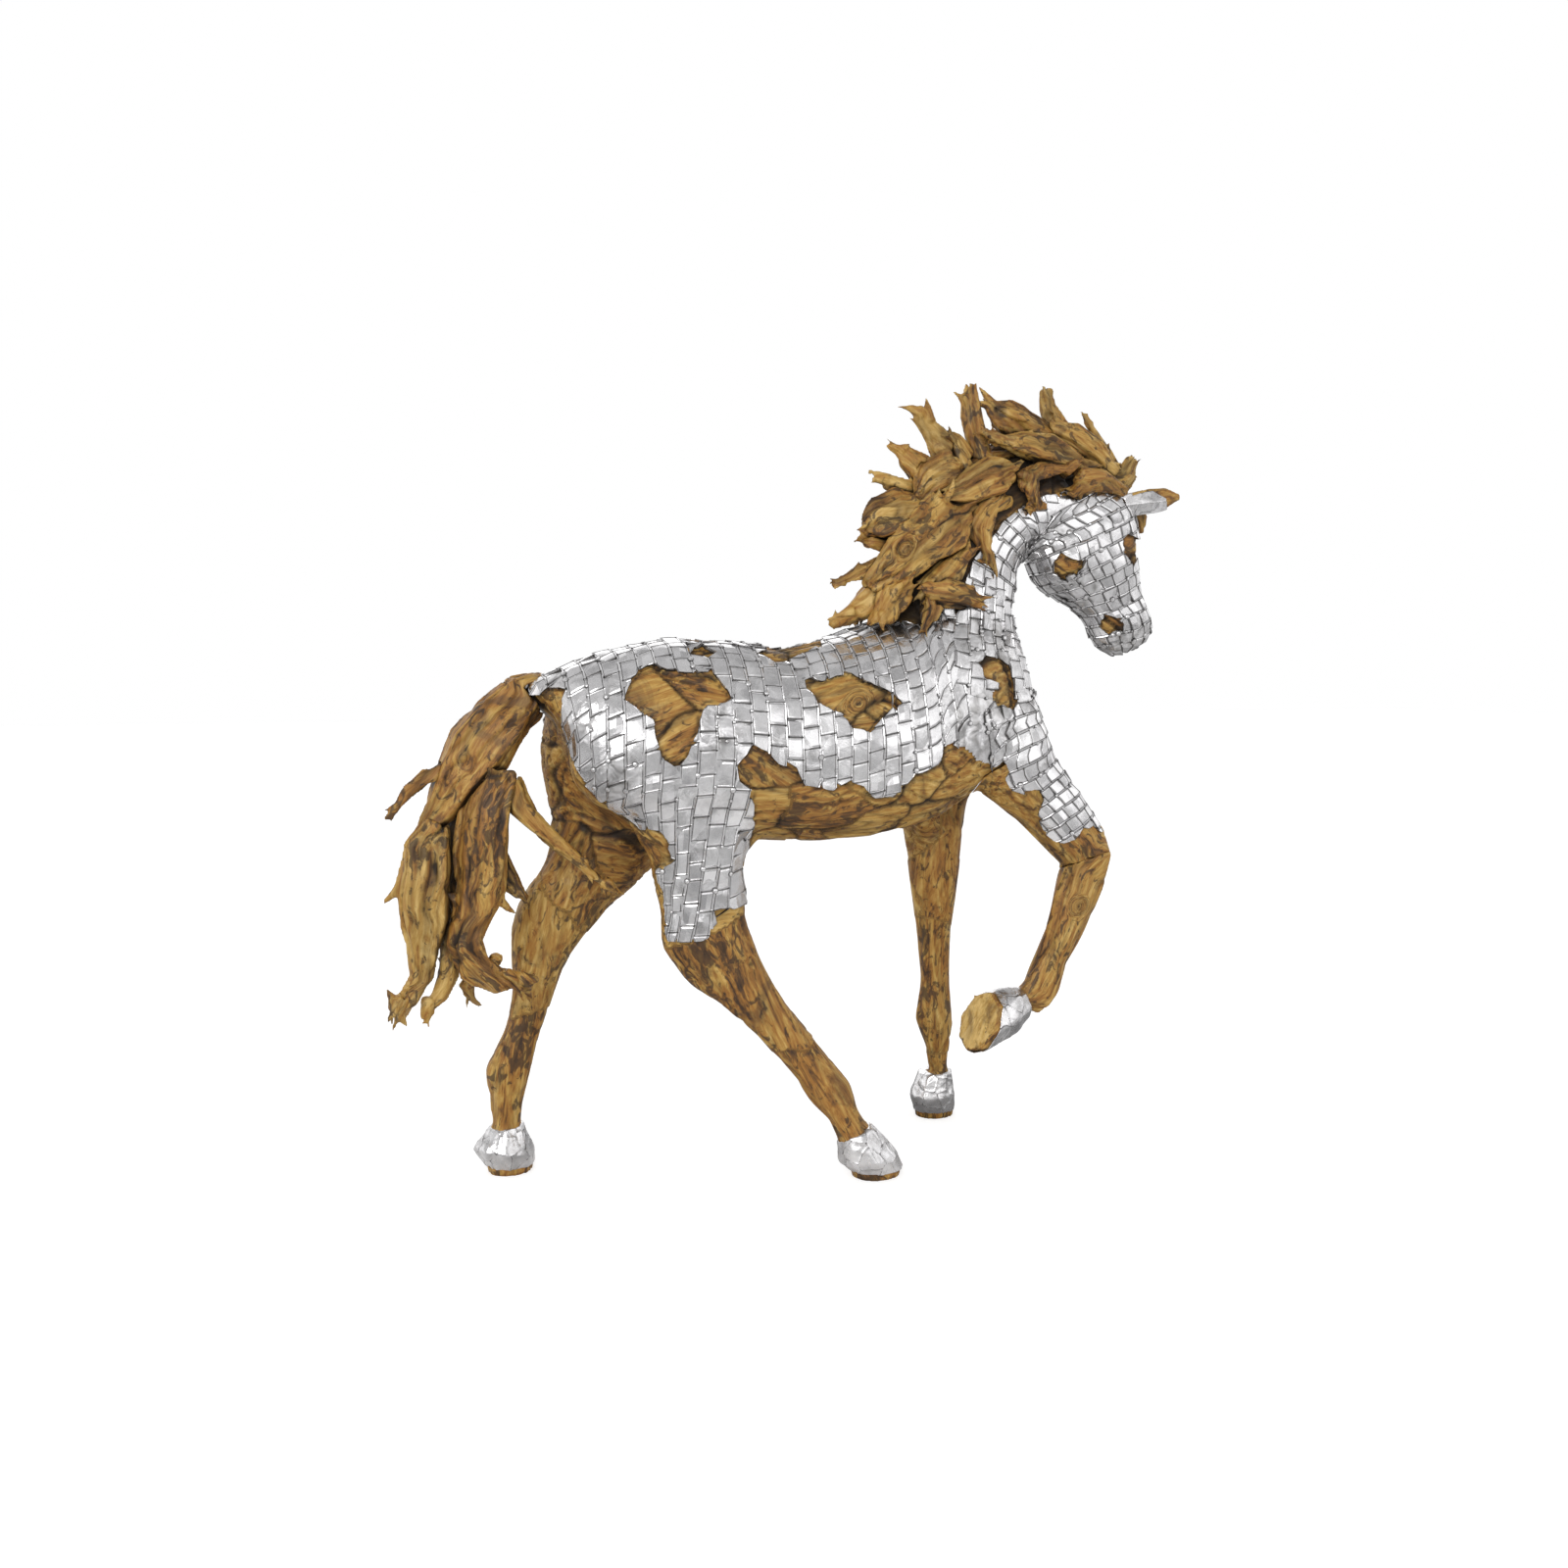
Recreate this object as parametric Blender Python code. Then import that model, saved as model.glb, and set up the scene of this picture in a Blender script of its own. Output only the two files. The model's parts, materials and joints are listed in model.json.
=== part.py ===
"""Walking horse, life size: a body and legs of teak root, a mane and tail of split roots, a skin of metal.

The horse walks towards +X with its back up +Z and its left side towards +Y. Its right foreleg is raised.
The pose was laid out on a square drawing, DRAWING_SIDE units a side, made from where an observer stands
behind and to the right of the horse. A place on the drawing is (across, down) in those units, and `side` is
how far left of the horse's middle plane a thing lies, in the same units. HEIGHT turns units into metres.
"""

import math
import random

import bmesh
import bpy
from mathutils import Matrix, Vector

HEIGHT = 2.17            # metres, from the floor to the highest root of the mane
FIGURE_UNITS = 809       # what HEIGHT measures on the drawing
DRAWING_SIDE = 1600
UNIT = HEIGHT / FIGURE_UNITS

OBSERVER_TURN = math.radians(-18.0)    # round the horse, towards its rump
OBSERVER_TILT = math.radians(5.2)      # looking down
OBSERVER_DISTANCE = 1.66 * HEIGHT
OBSERVER_HEIGHT = 0.645 * HEIGHT

METAL = 0.003            # thickness of the nailed metal, seams included
METAL_GAP = 0.0005       # between the wood and the metal
JOINT_GAP = 0.0004       # between two pieces of wood that meet
SOLE_BAND = 0.020        # bare wood below the metal of a hoof
SHARP_EDGE = math.radians(35)

BODY_VOXEL = 6.0 * UNIT
BODY_FAIRING = 1.3 * UNIT  # given back after smoothing, which draws the body in
BODY_SMOOTHING = 4
BODY_FACES = 1040
FOLD_LIMIT = 0.6         # cosine between a corner's direction and the flattest face round it
FOLD_PASSES = 8
RING = 16                # points round each section of the body
HOOF_RING = 8
ROOT_RING = 5            # points round each section of a mane or tail root
ROOT_ROUND = 1.10        # a five-sided section is narrower than the round one it stands for

WOOD = (0.42, 0.23, 0.08, 1.0)
DARK_WOOD = (0.30, 0.16, 0.06, 1.0)
STEEL = (0.78, 0.78, 0.80, 1.0)


def clear_scene():
    for obj in list(bpy.data.objects):
        bpy.data.objects.remove(obj)


def material(name, colour, roughness, metallic):
    made = bpy.data.materials.new(name)
    made.use_nodes = True
    shader = made.node_tree.nodes["Principled BSDF"]
    shader.inputs["Base Color"].default_value = colour
    shader.inputs["Roughness"].default_value = roughness
    shader.inputs["Metallic"].default_value = metallic
    return made


# The drawing and the observer

def sight_axes():
    """The observer's right, up and backward directions."""
    turn, tilt = OBSERVER_TURN, OBSERVER_TILT
    back = Vector((math.sin(turn) * math.cos(tilt), -math.cos(turn) * math.cos(tilt), math.sin(tilt)))
    right = Vector((math.cos(turn), math.sin(turn), 0))
    return right, back.cross(right), back


RIGHT, UP, BACK = sight_axes()
WATCHED_HEIGHT = OBSERVER_HEIGHT - OBSERVER_DISTANCE * math.sin(OBSERVER_TILT)
EYE = Vector((0, 0, WATCHED_HEIGHT)) + BACK * OBSERVER_DISTANCE


def sight_line(across, down):
    """The direction in which the observer sees a place on the drawing, one drawing distance long."""
    middle = DRAWING_SIDE / 2
    return RIGHT * (across - middle) * UNIT - UP * (down - middle) * UNIT - BACK * OBSERVER_DISTANCE


def spot(across, down, side):
    """The point `side` units left of the middle plane that is seen at that place."""
    line = sight_line(across, down)
    return EYE + line * ((side * UNIT - EYE.y) / line.y)


def floor_spot(across, down):
    """The point of the floor that is seen at that place."""
    line = sight_line(across, down)
    return EYE + line * (-EYE.z / line.z)


def unit_at(point):
    """What one drawing unit measures at a point's distance from the observer."""
    return UNIT * (EYE - point).dot(BACK) / OBSERVER_DISTANCE


# Meshes

def add_object(name, bm, mat=None):
    """An object from a bmesh, in triangles with their normals pointing out."""
    bmesh.ops.recalc_face_normals(bm, faces=bm.faces)
    bmesh.ops.triangulate(bm, faces=bm.faces)
    mesh = bpy.data.meshes.new(name)
    bm.to_mesh(mesh)
    bm.free()
    obj = bpy.data.objects.new(name, mesh)
    bpy.context.scene.collection.objects.link(obj)
    if mat:
        mesh.materials.append(mat)
    return obj


def hide(obj):
    """Makes a cutter or a pattern, which is no piece of the horse."""
    obj.hide_render = True
    obj.display_type = "WIRE"
    return obj


def show(obj):
    obj.hide_render = False
    obj.display_type = "TEXTURED"


def settle(obj):
    """Replaces an object's mesh by what its modifiers make of it."""
    bpy.context.view_layer.update()
    graph = bpy.context.evaluated_depsgraph_get()
    made = bpy.data.meshes.new_from_object(obj.evaluated_get(graph))
    made.name = obj.name
    obj.modifiers.clear()
    obj.data = made
    return obj


def keep_largest(obj):
    """Throws away the offcuts that a cut leaves beside a piece."""
    bm = bmesh.new()
    bm.from_mesh(obj.data)
    unseen = set(bm.verts)
    islands = []
    while unseen:
        start = unseen.pop()
        island, queue = {start}, [start]
        while queue:
            for edge in queue.pop().link_edges:
                for vert in edge.verts:
                    if vert in unseen:
                        unseen.discard(vert)
                        island.add(vert)
                        queue.append(vert)
        islands.append(island)
    for island in sorted(islands, key=lambda verts: island_size(verts))[:-1]:
        bmesh.ops.delete(bm, geom=list(island), context="VERTS")
    bm.to_mesh(obj.data)
    bm.free()


def island_size(verts):
    low = Vector(min(v.co[axis] for v in verts) for axis in range(3))
    high = Vector(max(v.co[axis] for v in verts) for axis in range(3))
    return (high - low).length


def ease_folds(obj):
    """Rounds the few corners that turn too sharply for metal to be laid over them."""
    bm = bmesh.new()
    bm.from_mesh(obj.data)
    for _ in range(FOLD_PASSES):
        bm.normal_update()
        sharp = [v for v in bm.verts if min(v.normal.dot(f.normal) for f in v.link_faces) < FOLD_LIMIT]
        bmesh.ops.smooth_vert(
            bm, verts=sharp, factor=0.5, use_axis_x=True, use_axis_y=True, use_axis_z=True
        )
    bm.to_mesh(obj.data)
    bm.free()


def cut(obj, cutters, operation="DIFFERENCE"):
    for cutter in cutters:
        step = obj.modifiers.new(operation.title(), "BOOLEAN")
        step.operation = operation
        step.object = cutter
        step.solver = "EXACT"
    return settle(obj)


def copy_of(obj, name, mat=None):
    made = bpy.data.objects.new(name, obj.data.copy())
    bpy.context.scene.collection.objects.link(made)
    if mat:
        made.data.materials.clear()
        made.data.materials.append(mat)
    return made


def grown(obj, distance, name):
    """A hidden copy of a solid whose surface lies `distance` further out."""
    made = copy_of(obj, name)
    swell = made.modifiers.new("Swell", "DISPLACE")
    swell.strength = distance
    swell.mid_level = 0.0
    return hide(settle(made))


# Sections along a limb

def between(values, at):
    """A smooth curve through equal-length tuples, read at a real-valued index."""
    last = len(values) - 1
    i = min(int(at), last - 1)
    t = at - i
    p0, p1, p2, p3 = (values[max(0, min(last, i + step))] for step in (-1, 0, 1, 2))
    return tuple(
        0.5 * (2 * b + (c - a) * t + (2 * a - 5 * b + 4 * c - d) * t * t + (3 * b - a - 3 * c + d) * t**3)
        for a, b, c, d in zip(p0, p1, p2, p3)
    )


def refined(stations, steps):
    """The stations with `steps` sections for each one drawn, on a smooth curve."""
    count = (len(stations) - 1) * steps
    return [between(stations, i / steps) for i in range(count + 1)]


def section(bm, station, points, taper, fullness):
    """One ring of a limb, seen edge to edge between two places.

    A taper above 0 is slim at the first edge.
    """
    ax, ay, bx, by, side, half_width = station
    first, second = spot(ax, ay, side), spot(bx, by, side)
    centre = (first + second) / 2
    along = (first - second).normalized()
    radius = math.hypot(ax - bx, ay - by) / 2 * unit_at(centre)
    ring = []
    for i in range(points):
        angle = math.tau * i / points
        c, s = math.cos(angle), math.sin(angle)
        c, s = (math.copysign(abs(v) ** fullness, v) for v in (c, s))
        across = half_width * UNIT * s * (1 - taper * c)
        ring.append(bm.verts.new(centre + along * radius * c + Vector((0, across, 0))))
    return ring


def loft(bm, rings):
    """Skins a row of rings and closes its two ends."""
    for first, second in zip(rings, rings[1:]):
        count = len(first)
        for i in range(count):
            j = (i + 1) % count
            bm.faces.new((first[i], first[j], second[j], second[i]))
    bm.faces.new(rings[0][::-1])
    bm.faces.new(rings[-1])


def limb(bm, stations, taper=0.0, fullness=0.95, steps=3):
    loft(bm, [section(bm, s, RING, taper, fullness) for s in refined(stations, steps)])


def muscle(bm, place, size):
    """A ball of flesh: its place (across, down, side), then half length, height and width, and lean."""
    centre = spot(*place)
    turn = Matrix.Rotation(math.radians(-size[3]), 4, "Y")
    scale = Matrix.Diagonal((size[0] * UNIT, size[2] * UNIT, size[1] * UNIT, 1))
    ball = Matrix.Translation(centre) @ turn @ scale
    bmesh.ops.create_icosphere(bm, subdivisions=3, radius=1.0, matrix=ball)


# Body: each section is (first edge, second edge, side, half width)

TORSO = (
    (531, 699, 540, 715, 0, 12),
    (546, 693, 566, 735, 0, 36),
    (562, 686, 594, 805, 0, 66),
    (580, 679, 620, 829, 0, 81),
    (606, 670, 650, 846, 0, 90),
    (642, 660, 690, 853, 0, 94),
    (690, 653, 735, 855, 0, 95),
    (742, 655, 775, 856, 0, 95),
    (792, 661, 815, 857, 0, 97),
    (838, 653, 858, 855, 0, 97),
    (880, 638, 902, 849, 0, 92),
    (915, 628, 945, 834, 0, 84),
    (950, 615, 988, 806, 0, 73),
    (988, 622, 1022, 778, 0, 60),
    (1022, 645, 1044, 745, 0, 40),
)
NECK = (
    (885, 660, 1040, 786, 0, 62),
    (885, 637, 1056, 748, 0, 60),
    (900, 600, 1044, 700, 0, 50),
    (918, 562, 1032, 652, 0, 42),
    (940, 525, 1029, 612, 0, 36),
    (966, 495, 1036, 581, 0, 33),
    (1003, 474, 1050, 557, 0, 32),
    (1048, 464, 1070, 548, 0, 31),
    (1090, 474, 1086, 545, 0, 27),
)
HEAD = (
    (1076, 520, 1112, 492, 0, 22),
    (1055, 532, 1138, 505, 0, 33),
    (1045, 555, 1157, 521, 1, 37),
    (1046, 581, 1160, 548, 2, 37),
    (1059, 602, 1158, 576, 4, 34),
    (1083, 615, 1161, 596, 5, 27),
    (1101, 630, 1166, 615, 7, 22),
    (1108, 645, 1172, 630, 8, 21),
    (1117, 660, 1174, 641, 9, 20),
    (1131, 669, 1165, 656, 10, 14),
)
HEAD_TAPER = 0.12

# Legs: each section is (first edge, second edge, half width). Its side runs evenly from the hip to the hoof
RIGHT_HIND = (
    (592, 745, 752, 700, 40),
    (600, 790, 770, 765, 43),
    (630, 830, 772, 815, 40),
    (655, 868, 767, 850, 34),
    (665, 900, 760, 888, 29),
    (674, 930, 760, 925, 25),
    (675, 965, 766, 950, 22),
    (700, 1002, 776, 978, 20),
    (740, 1028, 788, 1006, 18),
    (776, 1060, 813, 1037, 16),
    (806, 1094, 843, 1074, 15),
    (828, 1128, 868, 1106, 17),
    (844, 1140, 873, 1126, 15),
    (857, 1166, 886, 1150, 14),
    (866, 1184, 896, 1172, 14),
)
LEFT_HIND = (
    (552, 742, 650, 705, 38),
    (552, 790, 668, 760, 44),
    (562, 836, 684, 820, 42),
    (556, 880, 668, 880, 34),
    (532, 914, 627, 919, 27),
    (521, 950, 594, 954, 22),
    (523, 985, 574, 987, 19),
    (521, 1025, 559, 1027, 16),
    (512, 1058, 548, 1060, 15),
    (496, 1090, 543, 1084, 17),
    (498, 1107, 538, 1108, 15),
    (501, 1124, 533, 1122, 14),
    (501, 1160, 532, 1152, 14),
    (503, 1184, 534, 1182, 14),
)
LEFT_FORE = (
    (940, 770, 1010, 745, 30),
    (924, 835, 986, 812, 31),
    (926, 870, 980, 868, 27),
    (930, 900, 976, 900, 23),
    (934, 932, 971, 932, 19),
    (937, 968, 969, 968, 16),
    (938, 1008, 969, 1010, 15),
    (933, 1042, 972, 1042, 17),
    (939, 1061, 968, 1060, 14),
    (942, 1102, 968, 1098, 14),
    (943, 1127, 969, 1125, 14),
)
RIGHT_FORE = (
    (975, 745, 1058, 715, 34),
    (992, 792, 1066, 755, 35),
    (1012, 818, 1077, 778, 32),
    (1034, 834, 1090, 798, 28),
    (1058, 856, 1107, 820, 25),
    (1075, 874, 1122, 844, 23),
    (1083, 884, 1133, 866, 22),
    (1078, 900, 1128, 894, 19),
    (1072, 916, 1119, 918, 16),
    (1065, 948, 1106, 950, 14),
    (1052, 982, 1088, 982, 13),
    (1041, 1006, 1078, 1016, 15),
    (1037, 1009, 1061, 1033, 14),
    (1022, 1013, 1036, 1037, 13),
)
STANDING_LEGS = {
    "right_hind": (RIGHT_HIND, -42),
    "left_hind": (LEFT_HIND, 40),
    "left_fore": (LEFT_FORE, 36),
}
RIGHT_SHOULDER_SIDE = -34
RAISED_HOOF_SIDE = -44
RAISED_SOLE_SIDE = -56   # the raised hoof swings out, away from the other legs

# Flesh that stands proud of the sections: place, then half length, height, width and lean in degrees
MUSCLES = (
    ((640, 760, -44), (56, 66, 44, -20)),
    ((612, 760, 46), (50, 62, 42, -20)),
    ((728, 815, -52), (34, 48, 32, 10)),
    ((1000, 738, -40), (44, 56, 34, 20)),
    ((978, 735, 40), (44, 56, 34, 20)),
    ((1016, 744, -24), (30, 44, 26, 0)),
    ((1016, 744, 24), (30, 44, 26, 0)),
    ((1085, 568, -12), (32, 32, 27, 0)),
    ((1085, 568, 16), (32, 32, 27, 0)),
    ((1140, 540, -20), (14, 15, 13, 0)),
    ((1140, 540, 24), (14, 15, 13, 0)),
    ((1152, 634, -10), (13, 11, 11, 0)),
    ((1152, 634, 26), (13, 11, 11, 0)),
)


def with_sides(stations, first, last):
    """Leg stations with the side running evenly from the first value to the last."""
    top = stations[0][1] + stations[0][3]
    bottom = stations[-1][1] + stations[-1][3]
    made = []
    for ax, ay, bx, by, half_width in stations:
        share = (ay + by - top) / (bottom - top)
        made.append((ax, ay, bx, by, first + (last - first) * share, half_width))
    return made


# Hooves: the crown's two edges, the widest ring's two edges and the sole's middle, with their half widths

HOOVES = {
    "right_hind": {
        "crown": (856, 1162, 888, 1146),
        "belly": (855, 1184, 915, 1173),
        "sole": (894, 1197),
        "half": 27,
    },
    "left_hind": {
        "crown": (500, 1152, 532, 1144),
        "belly": (484, 1171, 544, 1171),
        "sole": (521, 1193),
        "half": 24,
    },
    "left_fore": {
        "crown": (938, 1095, 970, 1090),
        "belly": (928, 1117, 974, 1115),
        "sole": (953, 1136),
        "half": 21,
    },
}
RAISED_CROWN = (1038, 1009, 1046, 1037)
RAISED_SOLE = (998, 1042)
RAISED_SOLE_HALF = (32, 25)
RAISED_SOLE_FACING = Vector((-0.86, -0.28, 0.36)).normalized()
RAISED_SOLE_LONG = Vector((-0.30, 0.0, -0.95))
HOOF_WIDTHS = {"belly": 0.86, "crown": 0.95}  # across the hoof, over its length seen from the side
RAISED_WAIST = (0.78, 0.92)  # the ring halfway down the raised hoof, over its sole
RAISED_WAIST_PLACE = 0.45
RAISED_CROWN_WIDTH = 0.95
RAISED_CROWN_GROWTH = 1.12  # the crown is seen aslant


def disc(bm, centre, long_way, facing, half_long, half_short, points=HOOF_RING):
    """A ring round a centre, facing a given way."""
    short_way = facing.cross(long_way).normalized()
    long_way = short_way.cross(facing).normalized()
    ring = []
    for i in range(points):
        angle = math.tau * i / points
        ring.append(bm.verts.new(
            centre + long_way * half_long * math.cos(angle) + short_way * half_short * math.sin(angle)
        ))
    return ring


def standing_hoof(name):
    """The wood of one hoof, flat on the floor, with its sole's middle and the way its sole faces."""
    plan = HOOVES[name]
    sole = floor_spot(*plan["sole"])
    side = sole.y / UNIT
    size = unit_at(sole)
    half = plan["half"] * size
    bm = bmesh.new()
    ahead, up = Vector((1, 0, 0)), Vector((0, 0, 1))
    narrow = half * HOOF_WIDTHS["belly"]
    rings = [disc(bm, sole + up * lift, ahead, up, half, narrow) for lift in (0, SOLE_BAND)]
    for key, width in HOOF_WIDTHS.items():
        ax, ay, bx, by = plan[key]
        first, second = spot(ax, ay, side), spot(bx, by, side)
        way = (second - first).normalized()
        radius = math.hypot(ax - bx, ay - by) / 2 * size
        facing = Vector((0, 1, 0)).cross(way) * -1
        rings.append(disc(bm, (first + second) / 2, way, facing, radius, radius * width))
    loft(bm, rings)
    return add_object(name + "_hoof_pattern", bm), sole, -up


def raised_hoof():
    """The wood of the raised hoof, whose sole shows from behind, with the sole's middle and facing."""
    ax, ay, bx, by = RAISED_CROWN
    first, second = spot(ax, ay, RAISED_HOOF_SIDE), spot(bx, by, RAISED_HOOF_SIDE)
    crown = (first + second) / 2
    sole = spot(*RAISED_SOLE, RAISED_SOLE_SIDE)
    size = unit_at(sole)
    half_long, half_short = (value * size for value in RAISED_SOLE_HALF)
    bm = bmesh.new()
    band = sole - RAISED_SOLE_FACING * SOLE_BAND
    rings = [
        disc(bm, sole, RAISED_SOLE_LONG, RAISED_SOLE_FACING, half_long, half_short),
        disc(bm, band, RAISED_SOLE_LONG, RAISED_SOLE_FACING, half_long, half_short),
    ]
    axis = (sole - crown).normalized()
    waist = crown.lerp(band, RAISED_WAIST_PLACE)
    long_share, short_share = RAISED_WAIST
    crown_radius = math.hypot(ax - bx, ay - by) / 2 * size * RAISED_CROWN_GROWTH
    rings.append(disc(bm, waist, RAISED_SOLE_LONG, axis, half_long * long_share, half_short * short_share))
    rings.append(disc(bm, crown, RAISED_SOLE_LONG, axis, crown_radius, crown_radius * RAISED_CROWN_WIDTH))
    loft(bm, rings)
    return add_object("right_fore_hoof_pattern", bm), sole, RAISED_SOLE_FACING


HOOF_LEGS = {
    "right_hind": "right_hind_leg",
    "left_hind": "left_hind_leg",
    "left_fore": "left_foreleg",
    "right_fore": "right_fore_cannon",
}

# Where the pieces of the body part

def prism(name, outline, side_from, side_to, shrink=0.0):
    """A cutter: a drawn outline carried along the lines of sight from one side to another."""
    places = shrunk(outline, shrink / UNIT)
    bm = bmesh.new()
    rings = [[bm.verts.new(spot(x, y, side)) for x, y in places] for side in (side_from, side_to)]
    loft(bm, rings)
    return hide(add_object(name, bm))


def shrunk(outline, inward):
    """An outline with each of its edges moved inward."""
    if not inward:
        return outline
    area = sum(a[0] * b[1] - b[0] * a[1] for a, b in zip(outline, outline[1:] + outline[:1]))
    turn = 1 if area > 0 else -1
    count = len(outline)
    made = []
    for i in range(count):
        before, here, after = (Vector(outline[(i + step) % count]) for step in (-1, 0, 1))
        edges = (here - before, after - here)
        into = [Vector((-edge.y, edge.x)).normalized() * turn for edge in edges]
        corner = (into[0] + into[1]) / max(0.3, 1 + into[0].dot(into[1]))
        made.append(tuple(here + corner * inward))
    return made


OUTSIDE = 260            # a side well clear of the horse
RIGHT_HIND_BLOCK = [(560, 880), (640, 838), (785, 858), (960, 1260), (700, 1260)]
LEFT_HIND_BLOCK = [(440, 700), (562, 706), (650, 842), (700, 880), (700, 1260), (440, 1260)]
LEFT_FORE_BLOCK = [(890, 862), (1010, 796), (1030, 1260), (890, 1260)]
RIGHT_ELBOW = [(1040, 900), (985, 818), (1005, 792), (1082, 748), (1180, 820), (1180, 850)]
KNEE_JOINT = [(1140, 866), (1075, 888)]
RAISED_SHIN = [(980, 980), (980, 1110), (1180, 1110)]
SOCKETS = {
    "right_hind": (RIGHT_HIND_BLOCK, -1),
    "left_hind": (LEFT_HIND_BLOCK, 1),
    "left_fore": (LEFT_FORE_BLOCK, 1),
    "right_fore": (RIGHT_ELBOW + RAISED_SHIN[::-1], -1),
}
LEG_BLOCKS = {
    "right_hind_leg": (RIGHT_HIND_BLOCK, -1),
    "left_hind_leg": (LEFT_HIND_BLOCK, 1),
    "left_foreleg": (LEFT_FORE_BLOCK, 1),
    "right_forearm": (RIGHT_ELBOW + KNEE_JOINT, -1),
    "right_fore_cannon": (KNEE_JOINT[::-1][:1] + RAISED_SHIN + RIGHT_ELBOW[-1:] + KNEE_JOINT[:1], -1),
}
SOCKET_DEPTH = 1         # how far a socket reaches past the middle plane, in units

# Bare wood between the metal tiles, as outlines on the drawing

RIGHT_BARE = [
    (553, 711), (560, 702), (575, 704), (574, 740), (588, 784), (600, 804), (640, 838), (673, 848),
    (687, 880), (668, 889), (678, 928), (681, 961), (721, 959), (732, 949), (729, 928), (761, 925),
    (775, 900), (772, 820), (751, 793), (768, 761), (783, 768), (796, 781), (812, 782), (822, 802),
    (850, 806), (866, 797), (891, 812), (912, 812), (932, 794), (960, 780), (963, 762), (971, 759),
    (994, 779), (1008, 783), (1027, 778), (1025, 794), (1032, 806), (1045, 810), (1058, 804),
    (1064, 815), (1058, 835), (1082, 861), (1103, 848), (1123, 850), (1129, 845), (1260, 900),
    (1260, 1280), (380, 1280), (380, 712), (537, 705),
]
RIGHT_PATCHES = {
    "rump": [(664, 678), (683, 685), (726, 687), (747, 711), (720, 716), (711, 747), (700, 774),
             (689, 782), (677, 775), (667, 734), (638, 712), (645, 695)],
    "barrel": [(822, 694), (840, 696), (867, 687), (919, 712), (914, 726), (898, 734), (887, 746),
               (870, 742), (859, 728), (836, 717)],
    "shoulder": [(1004, 669), (1030, 680), (1035, 722), (1024, 723), (1017, 698), (1002, 688)],
    "cheek": [(1083, 567), (1103, 570), (1104, 581), (1083, 589), (1075, 578)],
    "nostril": [(1131, 628), (1147, 637), (1140, 646), (1124, 640)],
    "eye": [(1148, 544), (1176, 551), (1176, 566), (1158, 580), (1147, 565)],
}
LEFT_BARE = [
    (553, 711), (566, 836), (600, 852), (640, 868), (700, 880), (745, 850), (760, 800), (800, 778),
    (860, 800), (905, 808), (950, 784), (975, 760), (1000, 778), (1015, 815), (1030, 860), (1060, 1280),
    (380, 1280), (380, 712), (537, 705),
]
LEFT_PATCHES = {
    "rump": [(640, 690), (690, 684), (716, 712), (704, 745), (668, 752), (640, 726)],
    "barrel": [(820, 700), (866, 690), (902, 712), (884, 744), (842, 738)],
    "shoulder": [(976, 684), (1004, 676), (1016, 706), (998, 734), (978, 716)],
    "cheek": [(1078, 566), (1100, 564), (1106, 584), (1084, 590)],
    "eye": [(1146, 545), (1170, 550), (1166, 574), (1148, 566)],
}
# Patches on the spine, cut straight down: outlines of (along, side)
SPINE_PATCHES = {
    "croup": [(704, -16), (718, -22), (738, -8), (742, 6), (722, 14), (703, 4)],
    "loins": [(778, -20), (802, -27), (838, -14), (840, 8), (804, 24), (776, 6)],
}


def spine_prism(name, outline):
    """A cutter that goes straight down into the back. Its outline is read at the height of the spine."""
    spine_down, deep, high = 656, 60, 80
    bm = bmesh.new()
    places = [spot(x, spine_down, side) for x, side in outline]
    rings = [[bm.verts.new(p + Vector((0, 0, lift * UNIT))) for p in places] for lift in (-deep, high)]
    loft(bm, rings)
    return hide(add_object(name, bm))


def metal_over(name, wood, cutters, mat):
    """The nailed metal over a piece of wood: a shell of one thickness with the bare places cut out."""
    skin = grown(wood, METAL_GAP + METAL, name)
    skin.data.materials.append(mat)
    show(skin)
    inside = grown(wood, METAL_GAP, name + "_inside")
    cut(skin, [inside, *cutters])
    keep_largest(skin)
    return skin


def half_space(name, point, facing):
    """A cutter that fills everything on the side of a plane that `facing` points to."""
    bm = bmesh.new()
    turn = facing.to_track_quat("Z", "Y").to_matrix().to_4x4()
    place = Matrix.Translation(point) @ turn @ Matrix.Translation((0, 0, HEIGHT / 2))
    bmesh.ops.create_cube(bm, size=HEIGHT, matrix=place)
    return hide(add_object(name, bm))


def figure():
    """The whole carved body as one solid, before it parts into its pieces."""
    bm = bmesh.new()
    limb(bm, TORSO, taper=0.10, fullness=0.86)
    limb(bm, NECK, taper=0.25)
    limb(bm, HEAD, taper=HEAD_TAPER, fullness=0.82)
    hooves = {}
    for name, (stations, top_side) in STANDING_LEGS.items():
        hooves[name] = standing_hoof(name)
        limb(bm, with_sides(stations, top_side, hooves[name][1].y / UNIT))
    hooves["right_fore"] = raised_hoof()
    limb(bm, with_sides(RIGHT_FORE, RIGHT_SHOULDER_SIDE, RAISED_HOOF_SIDE))
    for place, size in MUSCLES:
        muscle(bm, place, size)
    body = hide(add_object("body_pattern", bm))
    remesh = body.modifiers.new("Fuse", "REMESH")
    remesh.mode = "VOXEL"
    remesh.voxel_size = BODY_VOXEL
    smooth = body.modifiers.new("Fair", "SMOOTH")
    smooth.factor = 0.5
    smooth.iterations = BODY_SMOOTHING
    swell = body.modifiers.new("Swell", "DISPLACE")
    swell.strength = BODY_FAIRING
    swell.mid_level = 0.0
    settle(body)
    keep_largest(body)
    thin = body.modifiers.new("Thin", "DECIMATE")
    thin.ratio = BODY_FACES / (2 * len(body.data.polygons))
    thin.use_collapse_triangulate = True
    settle(body)
    ease_folds(body)
    return body, hooves


# Roots of the mane and the tail

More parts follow.
